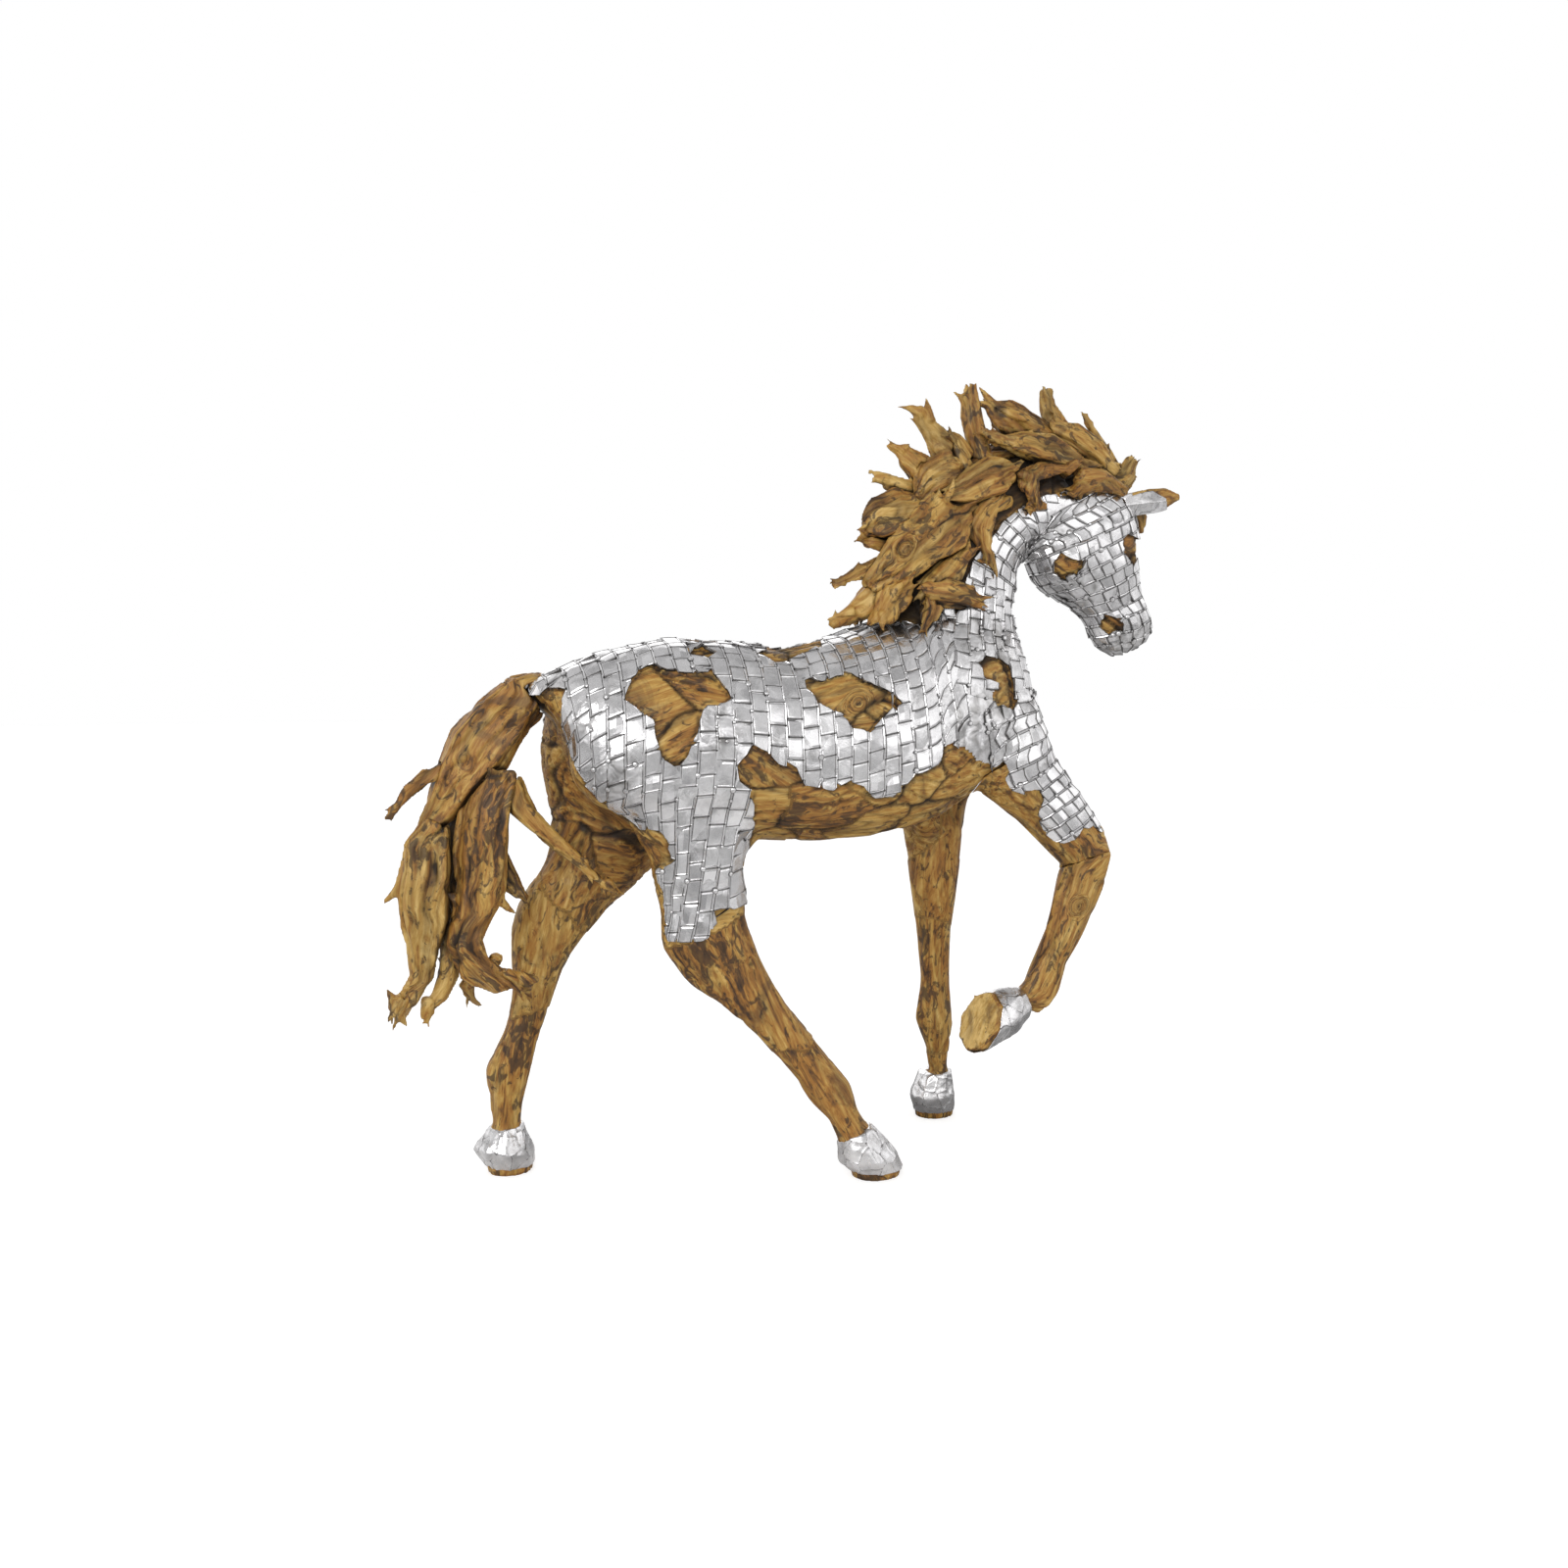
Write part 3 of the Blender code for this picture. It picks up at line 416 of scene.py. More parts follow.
def add_piece(name, mesh, material, slot, *nodes):
    """Puts a finished mesh in the scene, on the horse's one body, in place of its CAD nodes."""
    mesh.name = name
    mesh.materials.clear()
    mesh.materials.append(material)
    mesh.shade_smooth()
    move_points(mesh, np.clip(points_of(mesh), np.array(cad_low), np.array(cad_high)))
    piece = bpy.data.objects.new(name, mesh)
    scene.collection.objects.link(piece)
    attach(piece, "root")
    if nodes:
        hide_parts(*nodes)
    return piece


AIR = 0.009              # how far outside a surface a point of it looks round
REACH = 0.13             # how far off another piece still keeps the light out
OUTLOOK = 12             # directions that a point looks in
all_tree = tree_of(copied(*frame["nodes"]))
look_ways = unit_rows(np.random.default_rng(5).normal(0, 1, (OUTLOOK, 3)))


def painted_shade_of(mesh):
    """How closely other wood stands round each point of a mesh, from 0 to 1. The wood is painted darker
    there, as painted shade.
    """
    hits = np.zeros(len(mesh.vertices))
    for row, (point, normal) in enumerate(zip(points_of(mesh), normals_of(mesh))):
        start = Vector(point + normal * AIR)
        facing = look_ways * np.where(look_ways @ normal < 0, -1, 1)[:, None]
        hits[row] = sum(all_tree.ray_cast(start, way, REACH)[0] is not None for way in facing.tolist())
    return eased(mesh, hits[:, None] / OUTLOOK, 3)[:, 0]


body_form = remeshed(copied(*FUSED), FORM_VOXEL, FORM_SWELL)
faired(body_form, *FORM_FAIRING)

# Outlines of the bare wood, in picture units, as the CAD cuts them
RIGHT_BARE = [
    (380, 712), (531, 700), (537, 704), (552, 710), (559, 702), (576, 702), (574, 726), (576, 755),
    (588, 784), (598, 801), (614, 818), (632, 833), (654, 845), (673, 848), (681, 858), (686, 880),
    (667, 888), (672, 900), (678, 912), (681, 960), (700, 962), (721, 959), (732, 949), (729, 928),
    (748, 928), (760, 925), (764, 905), (759, 888), (769, 848), (769, 807), (751, 794), (753, 779),
    (768, 761), (783, 767), (796, 781), (812, 781), (816, 792), (821, 802), (850, 806), (866, 797),
    (880, 802), (891, 813), (912, 813), (932, 793), (948, 786), (960, 780), (962, 763), (971, 759),
    (980, 766), (993, 778), (1008, 784), (1027, 778), (1030, 787), (1025, 793), (1032, 806), (1045, 810),
    (1058, 804), (1064, 815), (1060, 826), (1058, 835), (1069, 852), (1082, 861), (1097, 856), (1103, 848),
    (1114, 843), (1123, 850), (1126, 845), (1260, 900), (1260, 1280), (380, 1280),
]
RIGHT_PATCHES = (
    [(664, 678), (683, 685), (701, 688), (726, 687), (736, 700), (747, 711), (739, 718), (720, 716),
     (715, 728), (711, 747), (705, 762), (700, 774), (691, 782), (677, 775), (669, 755), (667, 734),
     (651, 723), (638, 712), (644, 696), (653, 684)],
    [(822, 694), (840, 696), (853, 690), (867, 687), (884, 697), (903, 703), (919, 714), (915, 725),
     (898, 733), (887, 747), (870, 742), (859, 728), (836, 717), (826, 705)],
    [(1004, 669), (1018, 673), (1030, 680), (1034, 697), (1035, 722), (1024, 723), (1017, 714), (1018, 697),
     (1004, 691), (1000, 677)],
    [(1085, 566), (1093, 570), (1103, 571), (1105, 578), (1099, 583), (1083, 589), (1075, 581), (1075, 573)],
    [(1131, 628), (1139, 631), (1147, 637), (1144, 642), (1133, 646), (1124, 642), (1123, 633)],
    [(1148, 544), (1166, 553), (1162, 566), (1156, 578), (1146, 565), (1145, 556)],
    [(1028, 616), (1037, 614), (1037, 630), (1031, 627)],
    [(703, 650), (704, 662), (716, 661), (723, 664), (731, 663), (736, 669), (724, 671), (712, 670),
     (706, 668), (700, 650)],
    [(775, 666), (797, 663), (819, 659), (837, 650), (838, 660), (825, 665), (810, 671), (803, 676),
     (790, 676), (781, 673)],
)
LEFT_BARE = [
    (380, 712), (537, 705), (553, 711), (566, 836), (600, 852), (640, 868), (700, 880), (745, 850),
    (760, 800), (800, 778), (860, 800), (905, 808), (950, 784), (975, 760), (1000, 778), (1015, 815),
    (1030, 860), (1060, 1280), (380, 1280),
]
LEFT_PATCHES = (
    [(640, 690), (690, 684), (716, 712), (704, 745), (668, 752), (640, 726)],
    [(820, 700), (866, 690), (902, 712), (884, 744), (842, 738)],
    [(976, 684), (1004, 676), (1016, 706), (998, 734), (978, 716)],
    [(1078, 566), (1100, 564), (1106, 584), (1084, 590)],
    [(1146, 545), (1170, 550), (1166, 574), (1148, 566)],
)
# Under the mane the metal is left off and the wood is painted dark there, as painted shade.
MANE_BED = [
    (1110, 482), (1090, 500), (1062, 506), (1042, 518), (1026, 530), (1008, 552), (992, 576), (984, 596),
    (994, 612), (982, 625), (958, 616), (936, 638), (905, 634), (860, 630), (845, 610), (870, 540),
    (930, 470), (1010, 430),
]
SPINE_DOWN, SPINE_BAND = 656, 60     # the line of the back, and how far below it these patches reach
SPINE_PATCHES = (
    [(704, -16), (718, -22), (738, -8), (742, 6), (722, 14), (703, 4)],
    [(778, -20), (802, -27), (838, -14), (840, 8), (804, 24), (776, 6)],
)
RAGGED, LEFT_RAGGED = 1.3, 6.0       # how far the edge of the metal wanders, in picture units
INNER_THIGH, INNER_TOP = 30, 1.05    # bare inner faces: units from the middle plane and metres up
LEFT_BUTTOCK, BUTTOCK_TOP, BUTTOCK_FRONT = 46, 1.30, -0.35


def seen_at(points):
    """Where points are seen on the picture."""
    away = points - np.array(EYE)
    ahead = -away @ np.array(BACK)
    across = PICTURE / 2 + away @ np.array(RIGHT) / ahead * DISTANCE / UNIT
    down = PICTURE / 2 - away @ np.array(UP) / ahead * DISTANCE / UNIT
    return np.stack([across, down], axis=1)


def depth_in(places, outline):
    """How far inside an outline each place is. Outside it the number is negative."""
    nearest = np.full(len(places), 1e9)
    inside = np.zeros(len(places), bool)
    x, y = places.T
    for (ax, ay), (bx, by) in zip(outline, outline[1:] + outline[:1]):
        dx, dy = bx - ax, by - ay
        share = np.clip(((x - ax) * dx + (y - ay) * dy) / (dx * dx + dy * dy), 0, 1)
        nearest = np.minimum(nearest, np.hypot(x - ax - share * dx, y - ay - share * dy))
        if ay != by:
            inside ^= ((ay > y) != (by > y)) & (x < dx * (y - ay) / dy + ax)
    return np.where(inside, nearest, -nearest)


def mirrored(points):
    """Points of the left side as if they were on the right."""
    made = points.copy()
    made[:, 1] = MIDDLE - np.abs(made[:, 1] - MIDDLE)
    return made


def bare_depth(points):
    """How deep in a bare place each point lies, in picture units. Under the metal it is negative."""
    places = seen_at(points)
    left = points[:, 1] > MIDDLE
    depth = depth_in(seen_at(mirrored(points)), MANE_BED)
    for rows, outlines in ((~left, (RIGHT_BARE, *RIGHT_PATCHES)), (left, (LEFT_BARE, *LEFT_PATCHES))):
        for outline in outlines:
            depth[rows] = np.maximum(depth[rows], depth_in(places[rows], outline))
    spine = spot(PICTURE / 2, SPINE_DOWN, 0).z - SPINE_BAND * UNIT
    for outline in SPINE_PATCHES:
        corners = [spot(x, SPINE_DOWN, side) for x, side in outline]
        plan = [(corner.x / UNIT, corner.y / UNIT) for corner in corners]
        above = points[:, 2] > spine
        depth[above] = np.maximum(depth[above], depth_in(points[above, :2] / UNIT, plan))
    apart = np.abs(points[:, 1] - MIDDLE) / UNIT
    inner = np.minimum(INNER_THIGH - apart, (INNER_TOP - points[:, 2]) / UNIT)
    behind = np.minimum((BUTTOCK_TOP - points[:, 2]) / UNIT, (BUTTOCK_FRONT - points[:, 0]) / UNIT)
    buttock = np.where(left, np.minimum(LEFT_BUTTOCK - apart, behind), inner)
    depth = np.maximum(depth, np.maximum(inner, buttock))
    wander = np.where(left, LEFT_RAGGED * noise_at(points, (15, 15, 15), 9.3), 0)
    return depth + wander + RAGGED * noise_at(points, (45, 45, 45), 3.1)


CHUNK_GAP = 0.0045       # half width of the crack between two chunks of root
CHUNK_DEPTH = 0.005
CHUNK_LIFT = 0.003       # how far one chunk may stand above or below the form
TRUNK_CHUNK, LEG_CHUNK = 0.13, 0.30
CHUNK_TRIES, CHUNK_VIEW = 2500, 0.17
# The grain follows the form where its spread along it is this many times its spread across it
TRUNK_LENGTHY, LEG_LENGTHY = 2.2, 1.35
LOW_LEGS, LEGS_BELOW, LEG_ROOTS_BELOW = 0.82, 0.86, 1.00     # metres above the floor
HOOF_TOP = 0.10
SOLE_BAND = 0.007        # what is lower than this rests on the floor
TRUNK_RELIEF, LEG_RELIEF = 0.0042, 0.0030
HIGH_CREST = 0.002       # the most that relief stands out
KNOT_DEPTH = 0.006
UNDER_METAL = 0.0032     # how far the wood lies below the form where metal covers it
BARE_SUNK = 0.0022       # the same where the wood is bare
RIM_DEPTH = 0.0020       # and how much more along the metal's edge


def main_ways(points):
    """The middle of a cloud of points, its spread along its three main ways, and these as columns."""
    centre = points.mean(axis=0)
    spread, ways = np.linalg.eigh(np.cov((points - centre).T))
    return centre, spread, ways


def chunk_plan(points, rng):
    """Places fitted chunks of root over the form: their middles and their grain's directions."""
    middles, axes = [], []
    for index in rng.permutation(len(points))[:CHUNK_TRIES]:
        here = points[index]
        apart = LEG_CHUNK if here[2] < LEGS_BELOW else TRUNK_CHUNK
        if any(np.linalg.norm(here - other) < apart for other in middles):
            continue
        _, spread, ways = main_ways(points[np.linalg.norm(points - here, axis=1) < CHUNK_VIEW])
        lengthy = spread[2] > (LEG_LENGTHY if here[2] < LEG_ROOTS_BELOW else TRUNK_LENGTHY) * spread[1]
        along = ways[:, 2] if lengthy else np.array((1.0, 0.0, rng.uniform(-0.7, 0.5)))
        along = along / np.linalg.norm(along)
        across = np.cross(along, (0.0, 1.0, 0.02))
        across /= np.linalg.norm(across)
        middles.append(here)
        axes.append(np.stack([across, np.cross(along, across), along]))
    return np.array(middles), np.array(axes)


# Knots: place on the picture, side and radius in metres
KNOTS = [
    (spot(462, 782, -34), 0.018), (spot(925, 559, -60), 0.012), (spot(767, 984, -66), 0.012),
    (spot(880, 716, -95), 0.014), (spot(545, 940, 15), 0.014), (spot(955, 850, 10), 0.014),
    (spot(1100, 925, -56), 0.010), (spot(845, 825, -90), 0.014), (spot(705, 1010, -60), 0.013),
]


def knotted(points, grain):
    """Grain places drawn in rings about each knot, and how near the heart of one each point lies."""
    made, heart = grain.copy(), np.zeros(len(points))
    uneven = 1 + 0.5 * noise_at(points, (16, 16, 16), 41.0)
    for place, radius in KNOTS:
        away = np.linalg.norm(points - np.array(place), axis=1) * uneven
        pull = np.exp(-(away / (1.9 * radius)) ** 2)
        made[:, 0] += pull * away * 0.9
        made[:, 2] *= 1 - 0.7 * pull
        heart = np.maximum(heart, np.exp(-(away / (0.62 * radius)) ** 2))
    return made, heart


def grooves(grain, seed):
    """Relief of root wood at grain places: broad swelling, narrow grooves along the fibres, and grit."""
    turn = 0.030 * noise_at(grain, (8, 8, 4), seed)[:, None]
    swirled = grain + turn * np.array((1.0, -0.8, 0.0))
    swell = noise_at(swirled, (7, 7, 2.6), seed + 5)
    flute = np.abs(noise_at(swirled, (24, 24, 3.2), seed + 9))
    grit = noise_at(grain, (85, 85, 13), seed + 13)
    return swell, np.clip(1 - flute * 5.5, 0, 1) ** 1.5, grit


rng = np.random.default_rng(11)
form_points = points_of(body_form)
form_normals = normals_of(body_form)
bare = bare_depth(form_points)
warp = np.stack([noise_at(form_points, (8, 8, 8), seed) for seed in (21, 37, 53)], axis=1) * 0.060
middles, axes = chunk_plan(form_points, rng)
away = (form_points + warp)[:, None, :] - middles[None, :, :]
lengthwise = (away * axes[None, :, 2]).sum(axis=2)
reach = np.sqrt((away ** 2).sum(axis=2) - 0.65 * lengthwise ** 2)     # chunks are longer than they are wide
owner = reach.argmin(axis=1)
two_nearest = np.partition(reach, 1, axis=1)[:, :2]
between = (two_nearest[:, 1] - two_nearest[:, 0]) / 2
offsets = rng.uniform(-3, 3, (len(middles), 3))
grain = np.einsum("nij,nj->ni", axes[owner], form_points - middles[owner]) + offsets[owner]
grain, heart = knotted(form_points, grain)
swell, groove, grit = grooves(grain, 2.0)
joint = np.exp(-(between / CHUNK_GAP) ** 2)
on_leg = form_points[:, 2] < LEGS_BELOW
joint *= np.where(on_leg, 0.0, 0.9) * smooth_step(noise_at(form_points, (9, 9, 9), 77.0), -0.45, 0.15)
amount = np.where(on_leg, LEG_RELIEF, TRUNK_RELIEF)
amount = amount * smooth_step(form_points[:, 2], HOOF_TOP * 0.8, HOOF_TOP * 1.4)
carved = amount * (1.1 * swell - 1.5 * groove + 0.22 * grit) - CHUNK_DEPTH * joint * (amount > 0.001)
chunk_lift = rng.uniform(-CHUNK_LIFT, CHUNK_LIFT, len(middles))
carved += np.where(on_leg, 0.0, chunk_lift[owner]) - KNOT_DEPTH * heart
rim = 1 - smooth_step(bare, 0.2, 3.4)
carved = np.where(bare > 0, np.minimum(carved, HIGH_CREST) - BARE_SUNK - RIM_DEPTH * rim, -UNDER_METAL)
carved = np.where(form_points[:, 2] < HOOF_TOP * 1.2, np.minimum(carved, 0.0), carved)
low_and_bare = (form_points[:, 2] < LOW_LEGS) & (bare > 0)
carved = np.where(low_and_bare, carved + BARE_SUNK, carved)

body_mesh = body_form.copy()
body_points = form_points + form_normals * carved[:, None]
body_points[:, 2] = np.where(body_points[:, 2] < SOLE_BAND, 0.0, body_points[:, 2])
move_points(body_mesh, body_points)
set_values(body_mesh, "grain", grain)
# Painted shade: the mane's bed and the grooves are painted darker. The dark band along the metal's edge is
# glue stain together with a painted shadow of the metal.
bed = smooth_step(depth_in(seen_at(mirrored(form_points)), MANE_BED), -1.0, 6.0)
hollow = groove * np.where(on_leg, 0.30, 0.55) + joint + 0.85 * rim * (bare > 0) * ~on_leg
set_values(body_mesh, "hollow", np.clip(np.maximum(hollow, 0.9 * bed) + 0.8 * heart, 0, 1))
set_values(body_mesh, "tone", 0.45 + 0.25 * swell + rng.uniform(-0.3, 0.3, len(middles))[owner])
# Painted shade where other wood stands close round.
set_values(body_mesh, "shut", painted_shade_of(body_mesh))
add_piece("carved_body", body_mesh, TEAK, "teak_root", *FUSED)


# Raised foreleg
# Two lengths of teak root, fitted and glued together in a seam at the knee. The upper one is glued to the
# shoulder. The lower one ends in a hoof whose oval sole of paler end grain shows from behind.

ROOT_VOXEL = 0.0046


def places_along(runs, stops, points):
    """Places on a line of points, whose runs from its start are the stops, at other runs."""
    return np.stack([np.interp(runs, stops, points[:, axis]) for axis in range(3)], axis=-1)


def along_piece(points, step=0.03):
    """Grain places in one root: across, across, and along its own curved middle line."""
    centre, _, ways = main_ways(points)
    run = (points - centre) @ ways[:, 2]
    count = max(3, int((run.max() - run.min()) / step))
    edges = np.linspace(run.min(), run.max(), count + 1)
    bins = np.clip(np.digitize(run, edges) - 1, 0, count - 1)
    filled = [k for k in range(count) if (bins == k).any()]
    stops = np.array([run[bins == k].mean() for k in filled])
    middle = np.array([points[bins == k].mean(axis=0) for k in filled])
    cross = points - places_along(run, stops, middle)
    share = (run - run.min()) / (run.max() - run.min())
    return np.stack([cross @ ways[:, 0], cross @ ways[:, 1], run], axis=1), share


SPUR_PARTS = 3
SPLIT_GIRTH, SPUR_GIRTH = 0.016, 0.015
SHORTEST_SPLIT, LONGEST_SPUR = 0.050, 0.085


def splinter(bm, root, way, girth, length, bend):
    """A thin tapering stub that grows out of a root and curls."""
    place, depth = root.copy(), length / SPUR_PARTS
    for part in range(SPUR_PARTS):
        heading = (way + bend * (part / SPUR_PARTS)).normalized()
        turn = heading.to_track_quat("Z", "Y").to_matrix().to_4x4()
        thick, thin = (girth * (1 - 0.8 * (part + k) / SPUR_PARTS) for k in (0, 1.1))
        bmesh.ops.create_cone(bm, cap_ends=True, segments=7, radius1=thick, radius2=thin, depth=depth * 1.2,
                              matrix=Matrix.Translation(place + heading * depth / 2) @ turn)
        place += heading * depth


def splinters(bm, rng, hanging):
    """Splits a root's ends into points and raises a few spurs along it. A hanging one splits below alone."""
    points = np.array([vert.co for vert in bm.verts])
    centre, spread, ways = main_ways(points)
    way = ways[:, 2]
    run = (points - centre) @ way
    half = run.max()
    girth = math.sqrt(max(spread[1], 1e-6))
    lower = -1 if way[2] > 0 else 1
    for end in ((lower,) if hanging else (-1, 1)):
        tip = points[(run * end).argsort()[-max(4, len(points) // 7):]].mean(axis=0)
        for _ in range(rng.integers(3, 6)):
            lean = Vector(way * end) + Vector(rng.uniform(-0.5, 0.5, 3))
            side = Vector(rng.uniform(-0.5, 0.5, 3)) * girth
            length = max(SHORTEST_SPLIT, min(LONGEST_SPUR, half * rng.uniform(0.2, 0.42)))
            splinter(bm, Vector(tip) + side - Vector(way) * end * 0.02, lean.normalized(),
                     min(SPLIT_GIRTH, girth * 0.5), length, Vector(rng.uniform(-0.5, 0.5, 3)))
    for index in rng.permutation(len(points))[:int(3 + half / 0.05)]:
        if hanging and run[index] * lower < -0.1 * half:
            continue
        out = Vector(points[index] - centre - way * run[index]).normalized()
        lean = Vector(way * rng.choice((-1, 1))) * 1.4 + out * 0.7
        length = min(LONGEST_SPUR, half * rng.uniform(0.2, 0.4))
        splinter(bm, Vector(points[index]) - out * girth * 0.5, lean.normalized(),
                 min(SPUR_GIRTH, girth * 0.45), length, out * 0.9)


THICK = 0.034            # a root this thick takes the full relief
LOW_CREST = 0.0008       # relief outward on a root that is swelled to close its seam
ROOT_KNOT_DEPTH = 0.008


def fullness(mesh, points, normals):
    """How much relief each point's thickness can bear, from 0.15 to 1."""
    tree = tree_of(opened(mesh))
    made = np.ones(len(points))
    for row, (start, way) in enumerate(zip((points - normals * 0.0005).tolist(), (-normals).tolist())):
        through = tree.ray_cast(start, way, THICK)[3]
        if through is not None:
            made[row] = max(0.15, through / THICK)
    return eased(mesh, made[:, None], 4)[:, 0]


def root_piece(name, material, slot, depth, seed, voxel=ROOT_VOXEL, rounds=3, swell=0.0, split=False):
    """A piece of root in place of one CAD node: the same form, worn round and grooved along its grain."""
    bm = copied(name)
    if split:
        splinters(bm, rng, name.startswith("tail"))
    mesh = remeshed(bm, voxel, swell)
    faired(mesh, rounds, 2)
    points, normals = points_of(mesh), normals_of(mesh)
    grain, share = along_piece(points)
    grain, heart = knotted(points, grain + rng.uniform(-3, 3, 3))
    waves, groove, grit = grooves(grain, seed)
    ends = (1 + 0.5 * np.clip(1 - np.minimum(share, 1 - share) * 5, 0, 1)) * fullness(mesh, points, normals)
    ridge = 1 - 2.2 * np.abs(noise_at(grain, (17, 17, 3.4), seed + 17)) if split else 0
    cleft = np.clip(1 - 4.0 * np.abs(noise_at(grain, (11, 11, 2.4), seed + 23)), 0, 1) ** 1.5 if split else 0
    shape = 1.1 * waves + 0.9 * ridge - 1.4 * groove - 1.6 * cleft + 0.3 * grit
    relief = depth * ends * shape - ROOT_KNOT_DEPTH * heart
    if swell:
        covered = 1 - smooth_step(bare_depth(points), -7, -3)
        relief = np.minimum(relief, LOW_CREST) - UNDER_METAL * covered
    move_points(mesh, points + normals * relief[:, None])
    set_values(mesh, "grain", grain)
    # Grooves and clefts are painted darker as painted shade; knot hearts are darker in their own colour.
    set_values(mesh, "hollow", np.clip(0.4 * groove + 0.45 * cleft + heart, 0, 1))
    set_values(mesh, "tone", 0.45 + 0.3 * waves + rng.uniform(-0.28, 0.28))
    # Painted shade where other wood stands close round.
    set_values(mesh, "shut", painted_shade_of(mesh))
    return add_piece(name.replace("mane", "root_of_mane").replace("tail", "root_of_tail") + "_wood",
                     mesh, material, slot, name)


def with_end_grain(piece, centre, reach):
    """Gives the flat face round a place on a root the lighter tone of sawn end grain."""
    mesh = piece.data
    points, normals = points_of(mesh), normals_of(mesh)
    apart = np.linalg.norm(points - np.array(centre), axis=1)
    facing = normals[apart.argsort()[:60]].mean(axis=0)
    sawn = (apart < reach) & (normals @ facing > 0.75)
    for name, change in (("tone", 0.75), ("hollow", -1.0), ("shut", -1.0)):
        values = np.empty(len(points))
        layer = mesh.attributes[name].data
        layer.foreach_get("value", values)
        layer.foreach_set("value", np.where(sawn, np.maximum(values + change, 0), values).astype(np.float32))


FORELEG = dict(depth=0.0022, voxel=0.0052, rounds=7, swell=0.0020)     # the swell closes the knee's seam
SOLE_MIDDLE, SOLE_REACH = spot(1000, 1041, -56), 0.085
root_piece("right_forearm", TEAK, "teak_root", seed=31.0, **FORELEG)
fore_cannon = root_piece("right_fore_cannon", TEAK, "teak_root", seed=32.0, **FORELEG)
with_end_grain(fore_cannon, SOLE_MIDDLE, SOLE_REACH)


# Metal skin
# Thin polished sheet cut into tiles of four to six centimetres, laid in courses like bricks and nailed to the
# wood, with a folded welt along each seam. Under the tiles lies a first layer of the same sheet.

BRIGHT_METAL = (0.93, 0.92, 0.925)
DULL_METAL = (0.66, 0.65, 0.66)
AGED_AND_SHADED_METAL = (0.22, 0.21, 0.20)
# The last colour is painted shade: in the seams' grooves, in the gaps between tiles and round the nail heads.
SEAM_SHADE = (0.035, 0.031, 0.027)
LONG_SEAM, CROSS_SEAM = 0.0036, 0.0010     # where the fold's groove lies, in from a tile's edge; it is painted dark there as painted shade
FOLD_REACH = 0.0017


def metal_finish():
    """Polished sheet. The mesh knows how far in from a tile's long and cross seams each point lies."""
    made = Finish("nailed_metal")
    place = made.node("TexCoord", {}, {}, out=3)
    dirt, tone, worn, long_seam, cross_seam = (
        made.attribute(name) for name in ("dirt", "tone", "worn", "long_seam", "cross_seam")
    )
    cloud = made.noise(place, 12.0, 4.0, 0.6, 0.6)
    dent = made.noise(place, 30.0, 2.0, 0.5, 0.4)
    scratch = made.noise(place, 320.0, 2.0, 0.6, 0.0)
    patchy = made.noise(place, 130.0, 2.0, 0.6, 0.0)
    # Painted shade: the groove inside each seam, the folded skirts in the gaps and the rims of the nail heads
    # are painted dark.
    seam = long_seam.line(LONG_SEAM, FOLD_REACH) + cross_seam.line(CROSS_SEAM, FOLD_REACH)
    seam = (seam * (0.75 + patchy * 0.8) + dirt).clamped()
    sheen = (cloud * 1.3 + tone * 0.40 - 0.40).clamped()
    sheet = made.mixed(sheen, DULL_METAL, BRIGHT_METAL)
    # The sheet is darkened where it is worn, and also where it faces downwards, as painted shade.
    darkened = made.mixed(((dent - 0.42) * 2.4 * worn + worn * 0.10).clamped(), sheet, AGED_AND_SHADED_METAL)
    dirty = made.mixed(seam, darkened, SEAM_SHADE)
    made.set(
        Base_Color=dirty,
        Metallic=1.0 - seam * 0.55,
        Roughness=(0.15 + cloud * 0.12 + seam * 0.35 + worn * 0.06 + scratch * 0.05).clamped(),
        Normal=made.bumped(dent * 0.45 + scratch * 0.04 + cloud * 0.40 + dent * worn * 1.6, 0.45, 0.006),
    )
    return made.material


METAL = metal_finish()

METAL_LIFT = 0.0030      # face of a tile above the form
UNDER_LIFT, UNDER_DENT = 0.0012, 0.0010     # the same of the under layer, and how deep its dents are
UNDER_EDGE = -2.6        # the under layer ends this far inside the metal's edge, in picture units
crumpled_spots = [
    (spot(628, 796, -80), 0.10), (spot(600, 740, -70), 0.07), (spot(1002, 660, -50), 0.13),
    (spot(992, 740, -60), 0.15), (spot(1080, 548, -35), 0.07), (spot(1100, 606, -20), 0.10),
    (spot(1150, 655, 0), 0.11), (spot(1046, 560, -20), 0.08), (spot(735, 745, -90), 0.08),
    (spot(1040, 610, -10), 0.08), (spot(940, 640, -30), 0.08), (spot(1085, 852, -40), 0.06),
]
crumpled_spots += [(Vector((p.x, 2 * MIDDLE - p.y, p.z)), size) for p, size in crumpled_spots]


def wornness(points):
    """How crumpled and aged the metal is, from 0 to 1."""
    made = np.zeros(len(points))
    for centre, size in crumpled_spots:
        away = np.linalg.norm(points - np.array(centre), axis=1)
        made = np.maximum(made, 1 - smooth_step(away, 0.4 * size, size))
    return made


PANEL_TRIES = 6000


def panel_seams(points, spacing, rng):
    """Irregular panels over a surface: distance from the nearest seam, and a tone for each panel."""
    middles = []
    for index in rng.permutation(len(points))[:PANEL_TRIES]:
        here = points[index]
        if not middles or np.min(np.linalg.norm(np.array(middles) - here, axis=1)) > spacing:
            middles.append(here)
    tree = KDTree(len(middles))
    for index, place in enumerate(middles):
        tree.insert(place, index)
    tree.balance()
    found = [tree.find_n(row, 2) for row in points.tolist()]
    gap = np.array([(pair[1][2] - pair[0][2]) / 2 for pair in found])
    tones = rng.uniform(0, 1, len(middles))
    return gap, tones[[pair[0][1] for pair in found]]


